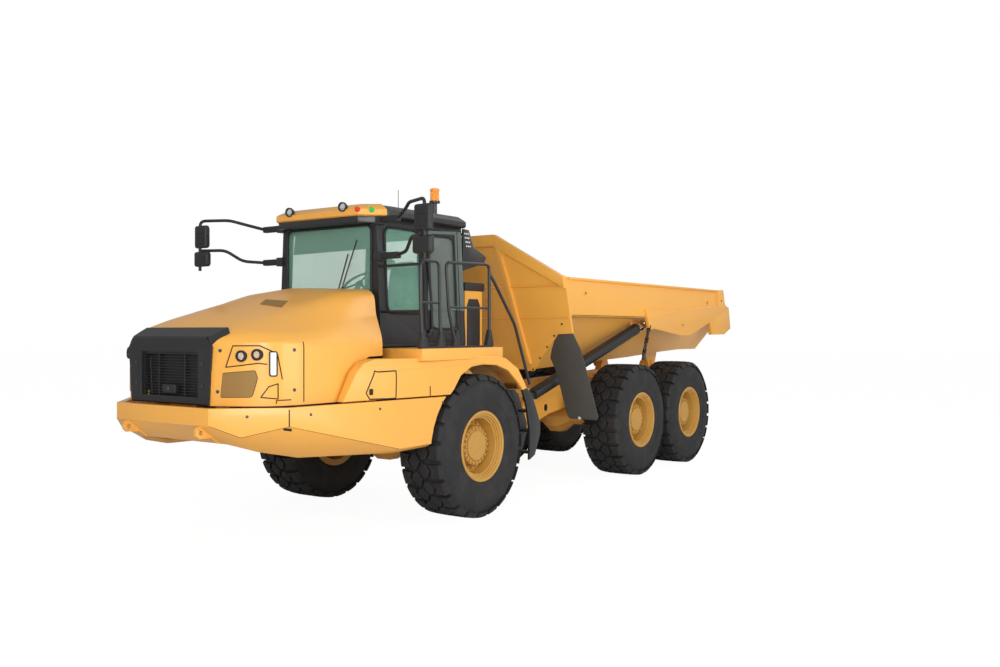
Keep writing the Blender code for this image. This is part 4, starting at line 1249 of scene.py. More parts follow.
@dataclass
class Hood:
    """The one-piece hood: a smooth skin with a crease that fades, its seams and the lamp pods."""

    wall: float = 0.03
    sweep: float = 0.75
    # y, half width, shoulder height, X and Z of the slope's foot, X and Z of the top's edge, top, softness
    stations: tuple[tuple[float, ...], ...] = (
        (-3.045, 0.590, 1.980, 0.57, 2.030, 0.50, 2.045, 2.050, 0.02),
        (-2.990, 0.710, 1.990, 0.66, 2.045, 0.55, 2.070, 2.075, 0.02),
        (-2.930, 0.830, 2.000, 0.74, 2.060, 0.60, 2.100, 2.105, 0.02),
        (-2.880, 0.910, 2.000, 0.80, 2.070, 0.62, 2.128, 2.140, 0.02),
        (-2.800, 1.010, 2.000, 0.88, 2.085, 0.66, 2.155, 2.195, 0.02),
        (-2.700, 1.085, 2.000, 0.95, 2.090, 0.69, 2.185, 2.255, 0.02),
        (-2.600, 1.120, 2.000, 1.00, 2.090, 0.70, 2.215, 2.300, 0.025),
        (-2.460, 1.150, 2.000, 1.05, 2.085, 0.71, 2.250, 2.350, 0.04),
        (-2.100, 1.170, 1.990, 1.05, 2.120, 0.74, 2.340, 2.455, 0.08),
        (-1.920, 1.170, 1.980, 1.03, 2.150, 0.76, 2.385, 2.495, 0.10),
        (-1.780, 1.170, 1.980, 1.00, 2.180, 0.77, 2.430, 2.525, 0.12),
        (-1.500, 1.150, 2.000, 0.92, 2.250, 0.77, 2.505, 2.565, 0.12),
        (-1.060, 1.120, 2.020, 0.82, 2.290, 0.74, 2.550, 2.580, 0.12),
    )
    # how the lower edge runs: y and height
    hem: Outline = (
        (-3.05, 1.418), (-1.91, 1.418), (-1.85, 1.55), (-1.75, 1.705), (-1.66, 1.80), (-1.58, 1.845),
        (-1.0, 1.85),
    )
    # upper and lower edge of each recess beside the lamps, drawn as a dark sheet of painted shade
    recesses: tuple[tuple[Sequence[Point], Sequence[Point]], ...] = (
        (((0.692, -2.994, 1.717), (0.953, -2.853, 1.742), (0.972, -2.840, 1.676)),
         ((0.671, -3.003, 1.500), (0.918, -2.875, 1.503), (0.935, -2.866, 1.520))),
    )
    led: tuple[Point, ...] = (
        (1.048, -2.76, 1.912), (1.073, -2.705, 1.911), (1.073, -2.705, 1.695), (1.048, -2.76, 1.696),
    )
    lamps: tuple[Point, ...] = ((0.844, -2.927, 1.875), (0.962, -2.846, 1.888))
    # radius and height along each lamp's axis
    bezel: Outline = (
        (0.033, 0.0), (0.052, 0.0), (0.052, 0.040), (0.046, 0.047), (0.038, 0.046), (0.033, 0.036),
    )
    bowl: Outline = ((0, 0.004), (0.018, 0.008), (0.0335, 0.024), (0.0335, 0.001), (0, 0.001))
    lens: Outline = ((0, 0.036), (0.020, 0.0345), (0.034, 0.030), (0.034, 0.028), (0, 0.033))
    lamp_axis: Point = (0.35, -1, 0)
    lamp_sunk: float = 0.025
    bolt_places: tuple[Point, ...] = (
        (1.141, -2.546, 1.928), (1.141, -2.546, 1.559), (0.663, -3.007, 1.924), (0.640, -3.018, 1.549),
    )
    panel_lines: tuple[Sequence[Point], ...] = (
        ((1.15, -2.444, 2.01), (1.15, -2.444, 1.446)),
        ((0.776, -2.958, 1.968), (0.988, -2.829, 1.969), (1.076, -2.699, 1.897), (1.10, -2.66, 1.66)),
        ((0.776, -2.958, 1.968), (0.713, -2.985, 1.772), (0.976, -2.837, 1.809), (1.035, -2.78, 1.80)),
        ((1.06, -2.70, 1.44), (1.06, -2.70, 1.47), (1.13, -2.58, 1.47)),
        ((0.996, -2.823, 1.50), (1.044, -2.769, 1.596), (1.079, -2.694, 1.622), (1.079, -2.694, 1.483),
         (0.996, -2.823, 1.50)),
    )
    # rear and front edge of the vent on top, drawn as a patch of painted shade
    vent: tuple[Sequence[Point], Sequence[Point]] = (
        ((0.232, -2.104, 2.46), (0.48, -2.036, 2.46)), ((0.316, -2.256, 2.42), (0.604, -2.232, 2.41)),
    )
    grille_half: float = 0.43
    grille_top: float = 1.90

    def ring(self, row: Sequence[float], low: float, inset: float) -> list[Point]:
        """One cross-section.

        Args:
            row: a station's numbers.
            low: height of its lower edge.
            inset: how far inside the outer face it lies.

        Returns:
            Its points from the right edge over the top to the left one.
        """
        y, half, shoulder, mid, mid_z, top_half, edge_z, top, soft = row
        side = [
            (half - inset, y, low),
            (half - inset, y, shoulder - inset * 0.3),
            (mid - inset, y, mid_z - inset * 0.7),
            (top_half - inset * 0.5, y, edge_z - inset),
            (0, y, top - inset),
        ]
        line = eased(side, (soft, 0.05, 0.14))
        full = line + [Vector((-p.x, p.y, p.z)) for p in reversed(line[:-1])]
        pull = min(max((y + 1.50) / 0.44, 0.0), 1.0)
        return [(p.x, p.y - max(abs(p.x) - 0.76, 0) * self.sweep * pull, p.z) for p in full]

    def sections(self) -> list[tuple[list[Point], list[Point]]]:
        """The outer and the inner section at each of many places along the hood."""
        made = []
        for row in through(self.stations, 5):
            low = next(a[1] + (b[1] - a[1]) * (row[0] - a[0]) / (b[0] - a[0])
                       for a, b in zip(self.hem, self.hem[1:]) if row[0] <= b[0])
            made.append((self.ring(row, low, 0), self.ring(row, low, self.wall)))
        return made

    def nose(self) -> Shape:
        """The flat face round the grille, as a frame."""
        y, half, shoulder, _, _, top_half, _, top, _ = self.stations[0]
        low, side = self.hem[0][1], self.grille_half
        outline = ((side, low), (half, low), (half, shoulder), (top_half, top - 0.03), (side, top - 0.03))
        cheek = plate(outline, "Y", y - 0.004, y + 0.04)
        bars = [slab((-side - 0.001, side + 0.001), (y - 0.0035, y + 0.04), heights)
                for heights in ((self.grille_top, top - 0.005), (low, low + 0.03))]
        return joined([*both(cheek), *bars])

    def pod(self, skin: Skin) -> None:
        """The lamps, light strip and bolts on both front corners, with the recesses drawn in painted shade.

        Args:
            skin: the hood's outer surface.
        """
        dark, black, white, lamp, glass, heads = [], [], [], [], [], []
        optics = ((black, self.bezel, 32), (lamp, self.bowl, 28), (glass, self.lens, 28))
        # painted shade: each recess is a dark sheet laid on the skin, not a hollow
        for top, bottom in self.recesses:
            dark += both(skin.patch(top, bottom, 0.007))
            ring = [*top, *reversed(bottom), top[0]]
            black += both(tube(skin.line(ring, 0.002), 0.005, 8, 0.01))
        one, two, three, four = self.led
        white += both(skin.patch((one, two), (four, three), 0.012))
        black += both(tube(skin.line([*self.led, one], 0.006), 0.009, 8, 0.015))
        for x, y, z in self.lamps:
            for group, profile, steps in optics:
                group += both(standing(turned(profile, steps), self.lamp_axis, (x, y + self.lamp_sunk, z)))
        for place in self.bolt_places:
            spot = skin.onto(place, 0.0)
            out = skin.onto(place, 0.01) - spot
            heads += both(moved(hex_bolt(0.022, 0.010), facing(out, spot)))
        for name, shapes, finish, slot in (
            ("lamp_recesses", dark, Finish.SHADE, Slot.YELLOW),
            ("lamp_bezels", black, Finish.SATIN, Slot.BLACK),
            ("light_strips", white, Finish.WHITE, Slot.BLACK),
            ("lamp_reflectors", lamp, Finish.REFLECTOR, Slot.BLACK),
            ("lamp_glasses", glass, Finish.LAMP, Slot.BLACK),
            ("hood_bolts", heads, Finish.STEEL, Slot.BLACK),
        ):
            trim(name, shapes, "hood_lid", finish, slot)

    def seams(self, skin: Skin) -> None:
        """The lines where the hood's panels meet, and the vent drawn as a patch of painted shade.

        Args:
            skin: the hood's outer surface.
        """
        beads = [bead for line in self.panel_lines for bead in both(skin.seam(line))]
        trim("hood_seams", beads, "hood_lid", Finish.SEAL, Slot.YELLOW)
        # painted shade: the vent is a dark patch laid on the skin
        trim("hood_vent", [skin.patch(*self.vent, 0.005)], "hood_lid", Finish.SHADE, Slot.YELLOW)

    def build(self) -> None:
        """Adds the hood and what is on it."""
        sections = self.sections()
        shell = loft([[*outer, *reversed(inner)] for outer, inner in sections])
        block = loft([outer for outer, _ in sections])
        skin = Skin(block)
        block.free()
        self.pod(skin)
        self.seams(skin)
        ears = both(slab((0.40, 0.44), (-3.02, -2.91), (1.46, 1.54)))
        trim("hood_skin", [shell, self.nose(), *ears], "hood_lid", Finish.YELLOW, Slot.YELLOW, ["hood"],
             math.radians(26))


@dataclass
class Grille:
    """The black surround with bevelled edges, its slats, camera box and bolts."""

    # X and height of the right half's corners, from the foot up
    outer: Outline = ((0.568, 1.418), (0.615, 1.96), (0.555, 2.05))
    inner: Outline = ((0.426, 1.49), (0.432, 1.86), (0.422, 1.905))
    middle: float = 1.7
    back: float = -3.052
    front: float = -3.085
    slant: float = 0.014
    # the section of the brow at its left end
    brow: tuple[Point, ...] = (
        (0.59, -3.075, 1.98), (0.575, -3.070, 2.052), (0.625, -2.885, 2.137), (0.70, -2.93, 2.085),
        (0.60, -3.04, 1.98),
    )
    slats: int = 15
    slat_span: tuple[float, float] = (1.49, 1.895)
    lens: Outline = ((0, 0), (0.020, 0), (0.020, 0.006), (0.012, 0.010), (0, 0.011))
    lens_place: Point = (0, -3.083, 1.558)

    def ring(self, half: Outline, y: float, wider: float = 0.0, taller: float = 0.0) -> list[Point]:
        """One ring of the surround.

        Args:
            half: its right half's corners.
            y: where it lies.
            wider: how far its sides are pushed out.
            taller: how far its top and foot are pushed out.

        Returns:
            Its points.
        """
        right = [(x + wider, y, z + (taller if z > self.middle else -taller)) for x, z in half]
        return [*right, *[(-x, y, z) for x, y, z in reversed(right)]]

    def surround(self) -> Shape:
        """The frame round the opening, with slanted edges round its front."""
        front, slant = self.front, self.slant
        return loft([
            self.ring(self.outer, self.back), self.ring(self.outer, front + 0.012),
            self.ring(self.outer, front, slant, -slant), self.ring(self.inner, front, slant, slant),
            self.ring(self.inner, front + 0.009), self.ring(self.inner, self.back),
        ], closed=True)

    def build(self) -> None:
        """Adds the surround with its slats, brow and camera box, and the bolts."""
        bar = rounded(slab((-0.428, 0.428), (-3.040, -3.016), (1.478, 1.487)), 0.003)
        low, high = self.slat_span
        shapes = [
            self.surround(),
            ArrayTree.row(bar, Finish.SATIN, self.slats, (0, 0, (high - low) / self.slats)),
            *both(slab((0.19, 0.205), (-3.046, -3.01), (1.475, 1.90))),
            *both(slab((0.408, 0.438), (-3.0515, -3.004), (1.470, 1.912))),
            slab((-0.41, 0.41), (-3.0514, -3.004), (1.884, 1.912)),
            loft([self.brow, [(-x, y, z) for x, y, z in self.brow]]),
            rounded(slab((-0.10, 0.10), (-3.084, -3.02), (1.515, 1.60)), 0.012, 3),
            rounded(slab((-0.428, 0.428), (-3.012, -3.008), (1.475, 1.905)), 0.001),
            tube([(-0.30, -3.05, 1.50), (-0.295, -3.07, 1.85)], 0.004, 8),
        ]
        trim("grille_surround", shapes, "hood_lid", Finish.SATIN, Slot.BLACK, ["grille"])
        forward = (0, -1, 0)
        lens = standing(turned(self.lens, 24), forward, self.lens_place)
        spots = [(x, self.front, z) for x in (-0.50, 0.50) for z in (1.60, 1.80)]
        trim("grille_bolts", [lens, bolts(spots, forward, 0.018)], "hood_lid", Finish.STEEL, Slot.STEEL)


def node_shape(node: str) -> Shape:
    """A node's solid, measured from the front axle.

    Args:
        node: its name.

    Returns:
        The shape.
    """
    bm = bmesh.new()
    bm.from_mesh(frame["nodes"][node].data)
    return shifted(bm, -FORWARD)


def loop(points: Sequence[Point], radius: float, bend: float = 0.05, sides: int = 8) -> Shape:
    """A closed bead along a polygon with rounded corners.

    Args:
        points: the polygon's corners.
        radius: of the bead.
        bend: how far from a corner its curve starts.
        sides: facets round the bead.

    Returns:
        The bead.
    """
    corners = [Vector(p) for p in points]
    start = (corners[0] + corners[-1]) / 2
    return tube([start, *corners, start], radius, sides, bend)


@dataclass
class Skirt:
    """What is on the bumper and the fenders: seams, slits drawn in painted shade, the service door and bolts.
    """

    door: tuple[Point, ...] = (
        (1.320, -1.782, 1.494), (1.330, -1.664, 1.707), (1.360, -1.380, 1.706), (1.358, -1.391, 1.421),
        (1.325, -1.734, 1.432),
    )
    latch: Point = (1.326, -1.718, 1.504)
    # Y and height of the fender's outline: the slope at its front, then over the wheel and back
    slope: Outline = ((-2.06, 1.42), (-1.90, 1.70), (-1.80, 1.79), (-1.66, 1.826))
    arch: Outline = (
        (0.22, 1.82), (0.43, 1.79), (0.69, 1.66), (0.88, 1.417), (0.79, 1.40), (0.70, 1.49), (0.48, 1.645),
        (0.25, 1.713), (-0.02, 1.726), (-0.224, 1.707), (-0.418, 1.617), (-0.543, 1.468), (-0.60, 1.42),
    )
    inner_slope: Outline = ((-1.80, 1.42), (-1.66, 1.70), (-1.58, 1.80))
    outer_x: float = 1.44
    inner_x: float = 0.86
    # how much the fender narrows for each metre forward of the wheel arch
    taper: float = 0.104
    taper_end: float = -0.58
    # lines on the bumper with the radius of their bead
    creases: tuple[tuple[float, Sequence[Point]], ...] = (
        (0.006, ((1.26, -2.69, 1.388), (1.26, -2.69, 1.234))),
        (0.002, ((0.70, -3.17, 1.25), (0.908, -2.978, 1.14), (1.22, -2.69, 1.234), (1.36, -1.35, 0.91))),
    )
    # upper and lower edge of the slit in the bumper, drawn as a dark patch of painted shade
    slit: tuple[Sequence[Point], Sequence[Point]] = (
        ((1.20, -2.74, 1.212), (1.225, -2.66, 1.212)), ((1.19, -2.72, 1.175), (1.215, -2.64, 1.175)),
    )
    bolt_places: tuple[Point, ...] = (
        (1.30, -2.45, 1.33), (1.34, -1.60, 1.33), (1.43, -0.70, 1.33), (0.95, -2.94, 1.33),
    )

    def panel(self, outline: Outline, inner: float, grow: float = 0.0) -> Shape:
        """A sheet that fills an outline from an inner plane to the tapered outer face.

        Args:
            outline: Y and height of its corners.
            inner: X of its inner plane.
            grow: how far inside the outer face it ends.

        Returns:
            The left one.
        """
        reach = self.outer_x - grow
        outer = [(reach + self.taper * min(y - self.taper_end, 0), y, z) for y, z in outline]
        return loft([[(inner, y, z) for y, z in outline], outer])

    def fenders(self) -> Shape:
        """Both fenders: an outer panel that hides the hood's edge, and the arch with its deck.

        Returns:
            The left one.
        """
        outside = rounded(self.panel((*self.slope, *self.arch), 1.19), 0.012, 3)
        inside = self.panel((*self.inner_slope, *self.arch), self.inner_x, 0.03)
        deck = rounded(slab((self.inner_x, 1.42), (-1.05, 0.40), (1.79, 1.92)), 0.012, 2)
        stay = slab((self.inner_x, 0.91), (-1.30, -1.20), (1.15, 1.45))
        for side in Side:
            made = [bm.copy() if side is Side.LEFT else mirrored(bm) for bm in (outside, inside, deck, stay)]
            trim(f"fender_panel_{side.word}", made, "tractor", Finish.YELLOW, Slot.YELLOW,
                 [f"fender_{side.word}"])
        for bm in (inside, deck, stay):
            bm.free()
        return outside

    def build(self) -> None:
        """Adds the trim of both sides."""
        bumper, fender = Skin(node_shape("front_bumper")), Skin(self.fenders())
        dark = []
        for radius, points in self.creases:
            dark += both(bumper.seam(points, radius))
        # painted shade: the slit is a dark patch laid on the bumper
        dark += both(bumper.patch(*self.slit, 0.002))
        dark += both(fender.seam((*self.door, self.door[0]), 0.0065))
        dark += both(fender.seam(((1.41, -0.908, 1.527), (1.41, -0.908, 1.422)), 0.006))
        latch = rounded(slab((-0.01, 0.012), (-0.022, 0.022), (-0.03, 0.03)), 0.006)
        dark += both(shifted(latch, fender.onto(self.latch)))
        trim("skirt_seams", dark, "tractor", Finish.SEAL, Slot.YELLOW)
        heads = []
        for place in self.bolt_places:
            spot = bumper.onto(place)
            heads += both(standing(hex_bolt(0.018, 0.008), bumper.onto(place, 0.01) - spot, spot))
        trim("skirt_bolts", heads, "tractor", Finish.STEEL, Slot.YELLOW)


@dataclass
class Cab:
    """Seals, sunshade, wipers, lamps and markers of the cab, with its controls and padded seat."""

    half: float = 0.80
    top_half: float = 0.73
    floor: float = 1.93
    top: float = 3.34
    # radius and height along a roof lamp's axis
    housing: Outline = (
        (0, -0.04), (0.040, -0.04), (0.052, -0.01), (0.052, 0.018), (0.044, 0.022), (0.040, 0.006),
        (0, 0.004),
    )
    lens: Outline = ((0, 0.012), (0.030, 0.011), (0.042, 0.007), (0.042, 0.005), (0, 0.006))
    marker: Outline = ((0, 0.0), (0.030, 0.0), (0.030, 0.010), (0.020, 0.022), (0, 0.026))
    lamp_places: tuple[Point, ...] = ((0.416, -1.19, 3.445), (-0.416, -1.19, 3.445))
    aerial: tuple[Point, Point] = ((0.57, -0.46, 3.42), (0.57, -0.46, 3.70))
    # X and height of the screen's corners, and how far forward it and the rear pane stand
    screen: Outline = ((-0.66, 2.32), (0.66, 2.32), (0.66, 3.26), (-0.66, 3.26))
    screen_y: float = -1.001
    rear_y: float = 0.501
    rear_share: float = 0.94
    # Y and height of the corners of what lies in the leaning side walls
    left_pane: Outline = ((-0.88, 2.30), (-0.29, 2.30), (-0.29, 3.24), (-0.88, 3.24))
    right_pane: Outline = ((-0.88, 2.30), (0.42, 2.30), (0.42, 3.24), (-0.88, 3.24))
    post: Outline = ((-0.245, 3.27), (-0.245, 1.99))
    door_pane: Outline = ((-0.13, 2.13), (0.35, 2.13), (0.35, 3.21), (-0.13, 3.21))
    door_curve: Outline = ((-0.17, 3.20), (-0.16, 2.80), (-0.13, 2.45), (-0.14, 2.05))
    door_glass: Outline = (
        (-0.130, 3.26), (-0.150, 2.80), (-0.185, 2.42), (-0.185, 2.345), (0.392, 2.345), (0.396, 3.29),
    )
    glass_band: float = 0.035
    post_glass: tuple[float, float] = (0.412, 0.492)
    sill: float = 2.345
    lintel: float = 3.29
    sunshade: Outline = ((-0.56, 3.25), (0.65, 3.25), (0.65, 3.0), (-0.60, 2.985))
    # points, radius and facets of each wiper bar
    wipers: tuple[tuple[Sequence[Point], float, int], ...] = (
        (((0.10, -1.02, 2.28), (0.12, -1.035, 2.36), (0.34, -1.03, 2.95)), 0.008, 8),
        (((0.20, -1.018, 2.50), (0.46, -1.018, 3.10)), 0.007, 6),
        (((0.72, -1.03, 2.40), (0.60, -1.04, 2.44)), 0.01, 8),
    )
    roof_split: float = -0.95
    # radius and height above the ground
    beacon_stem: Outline = (
        (0, 3.478), (0.030, 3.478), (0.030, 3.655), (0.066, 3.660), (0.066, 3.685), (0, 3.685),
    )
    beacon_dome: Outline = (
        (0, 3.6855), (0.060, 3.6855), (0.060, 3.70), (0.055, 3.705), (0.053, 3.80), (0.058, 3.806),
        (0.058, 3.828), (0.045, 3.838), (0, 3.8395),
    )
    beacon: Point = (0.40, 0.40, 0)
    # Y and height of the rear guard's plate, and of the bars behind the cab
    guard: Outline = (
        (0.503, 2.83), (0.914, 2.933), (0.977, 3.011), (0.94, 3.045), (0.72, 3.12), (0.62, 3.33),
        (0.503, 3.335),
    )
    guard_bars: Outline = ((0.90, 2.98), (0.60, 3.28))
    dash: Outline = ((-0.94, 1.965), (-0.70, 1.965), (-0.66, 2.28), (-0.70, 2.33), (-0.94, 2.36))
    wheel_radius: float = 0.20
    wheel_grip: float = 0.014
    seat_back: Outline = ((0.17, 2.26), (0.27, 2.24), (0.37, 2.90), (0.29, 2.92))
    head_rest: Outline = ((0.29, 2.91), (0.36, 2.90), (0.375, 2.95), (0.305, 2.96))

    def side(self, z: float, out: float = 0.0) -> float:
        """The side wall's X at a height."""
        return self.half - (self.half - self.top_half) * (z - self.floor) / (self.top - self.floor) + out

    def on_side(self, outline: Outline, out: float) -> list[Point]:
        """An outline of Y and Z laid on the leaning left wall."""
        return [(self.side(z, out), y, z) for y, z in outline]

    def seals(self) -> None:
        """Beads round the panes and the door."""
        front = [(x, self.screen_y, z) for x, z in self.screen]
        back = [(x * self.rear_share, self.rear_y, z) for x, z in self.screen]
        left, right = (self.on_side(pane, 0.002) for pane in (self.left_pane, self.right_pane))
        beads = [
            loop(front, 0.016, 0.09), loop(back, 0.012, 0.09), loop(left, 0.014, 0.10),
            mirrored(loop(right, 0.014, 0.10)), tube(self.on_side(self.post, 0.003), 0.012, 8),
        ]
        trim("cab_seals", beads, "tractor", Finish.SEAL)
        near, off = self.side(2.06), self.side(2.06, 0.03)
        handle = [(near, 0.26, 2.06), (off, 0.27, 2.07), (off, 0.35, 2.07), (near, 0.36, 2.06)]
        door = [
            loop(self.on_side(self.door_pane, 0.003), 0.012, 0.10),
            tube(self.on_side(self.door_curve, 0.012), 0.016, 8, 0.12),
            tube(handle, 0.010, 10, 0.02),
        ]
        trim("door_seals", door, "door_leaf", Finish.SATIN)

    def glazing(self) -> None:
        """The sunshade and the wipers."""
        shade = plate(self.sunshade, "Y", -0.965, -0.960)
        trim("sunshade", [shade], "tractor", Finish.SHADE_GLASS, Slot.GLASS)
        trim("wiper", [tube(*bar) for bar in self.wipers], "tractor", Finish.SATIN)

    def lamps(self) -> None:
        """Work lamps on the roof's front edge, the coloured markers and the aerial."""
        housings, lenses = (
            [standing(turned(profile, 28), (0.15, -1, 0), place) for place in self.lamp_places]
            for profile in (self.housing, self.lens)
        )
        trim("roof_lamps", [*housings, tube(self.aerial, 0.0035, 6)], "tractor", Finish.SATIN, Slot.YELLOW)
        trim("roof_lamp_glasses", lenses, "tractor", Finish.REFLECTOR, Slot.YELLOW)
        for name, place, finish in (
            ("red_marker", (0.635, -1.190, 3.405), Finish.RED),
            ("green_marker", (0.735, -1.075, 3.405), Finish.GREEN),
        ):
            marker = standing(turned(self.marker, 24), (0.6, -1, 0), place)
            trim(name, [marker], "tractor", finish, Slot.YELLOW)

    def roof(self) -> None:
        """The yellow front cap and the black rear of the roof, with the beacon and the hatch."""
        low, high = self.top + 0.0005, self.top + 0.092
        split = self.roof_split
        front = ((-0.64, -1.19), (0.64, -1.19), (0.84, split), (-0.84, split))
        rear = ((-0.84, split + 0.001), (0.84, split + 0.001), (0.85, -0.92), (0.85, 0.44), (0.78, 0.52),
                (-0.78, 0.52), (-0.85, 0.44), (-0.85, -0.92))
        for name, outline, finish, slot, replaces, drop in (
            ("roof_front", front, Finish.YELLOW, Slot.YELLOW, ["cab_roof"], 0.0),
            ("roof_rear", rear, Finish.BLACK, Slot.BLACK, [], 0.012),
        ):
            layers = ((0.985, low), (1.0, low + 0.012), (0.998, high - 0.02 - drop), (0.975, high - drop),
                      (0.90, self.top + 0.138 - drop))
            cap = loft([[(x * share, y if abs(y - split) < 0.01 else y * share, z) for x, y in outline]
                        for share, z in layers])
            trim(name, [cap], "tractor", finish, slot, replaces, math.radians(40))
        for name, profile, steps, finish, slot, replaces in (
            ("beacon_stem", self.beacon_stem, 32, Finish.BLACK, Slot.BLACK, []),
            ("beacon_dome", self.beacon_dome, 40, Finish.AMBER, Slot.AMBER, ["beacon"]),
        ):
            trim(name, [shifted(turned(profile, steps), self.beacon)], "tractor", finish, slot, replaces)
        hatch = rounded(slab((-0.25, 0.15), (-0.95, -0.72), (self.top + 0.13, self.top + 0.148)), 0.008)
        trim("roof_hatch", [hatch], "tractor", Finish.SATIN, Slot.BLACK)

    def glaze(self) -> None:
        """The dark flush glass laid over the door's frame and the post behind the front side window."""
        sill, band = self.sill, self.glass_band
        height = self.lintel - sill
        near, far = self.post_glass
        rear = plate(((near, 0), (far, 0), (far, height), (near, height)), "X", 0.0, 0.003)
        lean = Matrix.Rotation(-math.atan2(self.half - self.top_half, self.top - self.floor), 4, "Y")
        rear = moved(rear, Matrix.Translation((self.side(sill, 0.002), 0, sill)) @ lean)
        trim("post_glass", [rear], "tractor", Finish.DOOR_GLASS, Slot.GLASS)
        inner = [(y + (band if y < 0 else -band), z + (band if z < 2.4 else -band if z > 3.2 else 0))
                 for y, z in self.door_glass]
        rings = [self.on_side(outline, out) for outline, out in (
            (self.door_glass, 0.0015), (self.door_glass, 0.0045), (inner, 0.0045), (inner, 0.0015),
        )]
        trim("door_glazing_band", [loft(rings, closed=True)], "door_leaf", Finish.DOOR_GLASS, Slot.GLASS)

    def rear(self) -> None:
        """The rear guard's plates with their pale perforations, and the bars between them."""
        plates = both(rounded(plate(self.guard, "X", 0.735, 0.76), 0.004))
        bars = [tube([(-0.74, y, z), (0.74, y, z)], 0.018, 12) for y, z in self.guard_bars]
        trim("rear_guard_plates", [*plates, *bars], "tractor", Finish.BLACK, Slot.BLACK, ["cab_rear_guard"])
        dot = standing(disc(0.011, 0, 0.002, 12), (1, 0, 0), (0.7605, 0.53, 3.28))
        rows = [shifted(dot.copy(), (0, row * 0.014, -row * 0.05)) for row in range(4)]
        dot.free()
        dots = [ArrayTree.row(one, Finish.BARE, 3, (0, 0.034, 0)) for one in rows]
        trim("guard_perforations", dots, "tractor", Finish.BARE)

    def controls(self) -> None:
        """Dash, column and steering wheel."""
        turns = [math.tau * k / 10 for k in range(10)]
        grip = self.wheel_grip
        wheel = turned([(self.wheel_radius + grip * math.cos(a), grip * math.sin(a)) for a in turns])
        hub = turned(((0, -0.02), (0.05, -0.015), (0.045, 0.012), (0, 0.016)), 24)
        spoke = ((0.03, self.wheel_radius - 0.005), (-0.014, 0.014), (-0.006, 0.004))
        spokes = [moved(slab(*spoke), Matrix.Rotation(math.radians(a), 4, "Z")) for a in (90, 210, 330)]
        tilt = Matrix.Translation((0, -0.50, 2.66)) @ Matrix.Rotation(math.radians(38), 4, "X")
        dash = rounded(plate(self.dash, "X", -0.30, 0.42), 0.03, 3)
        column = tube([(0, -0.78, 2.10), (0, -0.51, 2.64)], 0.032, 16)
        cowl = rounded(slab((-0.10, 0.10), (-0.72, -0.60), (2.30, 2.42)), 0.03, 3)
        trim("dash_and_column", [dash, column, cowl], "tractor", Finish.GREY, Slot.BLACK,
             ["steering_console"])
        trim("steering_wheel", [moved(joined([wheel, hub, *spokes]), tilt)], "tractor", Finish.SATIN)

    def seat(self) -> None:
        """The padded seat on its base, with arm rests."""
        cushion = rounded(slab((-0.25, 0.25), (-0.25, 0.25), (2.17, 2.295)), 0.045, 4)
        back = rounded(plate(self.seat_back, "X", -0.235, 0.235), 0.04, 4)
        head = rounded(plate(self.head_rest, "X", -0.13, 0.13), 0.02, 3)
        pads = trim("seat_cushions", [cushion, back, head], "tractor", Finish.CLOTH, Slot.CLOTH,
                    ["operator_seat"])
        base = rounded(slab((-0.19, 0.19), (-0.17, 0.21), (1.965, 2.165)), 0.02, 2)
        rest = rounded(slab((0.255, 0.315), (-0.20, 0.24), (2.405, 2.465)), 0.02, 3)
        stay = slab((0.23, 0.27), (0.17, 0.25), (2.25, 2.44))
        trim("seat_base_and_arms", [base, *both(rest), *both(stay)], "tractor", Finish.SATIN, Slot.CLOTH)

    def build(self) -> None:
        """Adds everything."""
        for step in (self.seals, self.glazing, self.lamps, self.roof, self.glaze, self.rear, self.controls,
                     self.seat):
            step()


@dataclass
class Mirrors:
    """Bent arms with a large and a small mirror on each side."""

    arms: tuple[Sequence[Point], ...] = (
        ((0.812, -1.0, 3.30), (1.04, -1.0, 3.30), (1.30, -1.16, 3.38), (1.40, -1.24, 3.415),
         (1.74, -1.40, 3.415), (1.74, -1.40, 2.82)),
        ((0.822, -1.0, 2.91), (1.04, -1.0, 2.91), (1.28, -1.14, 2.93), (1.45, -1.26, 3.06),
         (1.74, -1.40, 3.06)),
    )
    # for each arm's root its inner X and its heights, and for heads and panes their X and heights
    roots: tuple[tuple[float, Point], ...] = ((0.8105, (3.265, 3.335)), (0.8205, (2.875, 2.945)))
    heads: tuple[tuple[Point, Point], ...] = (((1.61, 1.825), (3.09, 3.36)), ((1.59, 1.835), (2.87, 3.05)))
    panes: tuple[tuple[Point, Point], ...] = (((1.63, 1.80), (3.12, 3.33)), ((1.61, 1.81), (2.90, 3.02)))
    head_y: Point = (-1.425, -1.350)
    pane_y: Point = (-1.352, -1.346)
    ribs: tuple[float, ...] = (3.14, 3.20, 3.26)

    def build(self) -> None:
        """Adds both sides."""
        for side in Side:
            flip = Matrix.Scale(side.value, 4, (1, 0, 0))
            arms = [
                *[tube(arm, 0.018, 14, 0.07) for arm in self.arms],
                *[rounded(slab((x, 1.06), (-1.03, -0.965), z), 0.012) for x, z in self.roots],
                *[rounded(slab(x, self.head_y, z), 0.030, 4) for x, z in self.heads],
                *[rounded(slab((1.64, 1.80), (-1.432, -1.42), (z, z + 0.02)), 0.005) for z in self.ribs],
            ]
            panes = [slab(x, self.pane_y, z) for x, z in self.panes]
            arms, panes = ([moved(bm, flip) for bm in group] for group in (arms, panes))
            trim(f"mirror_arms_{side.word}", arms, "tractor", Finish.SATIN, Slot.BLACK,
                 [f"mirror_{side.word}"])
            trim(f"mirror_panes_{side.word}", panes, "tractor", Finish.MIRROR)


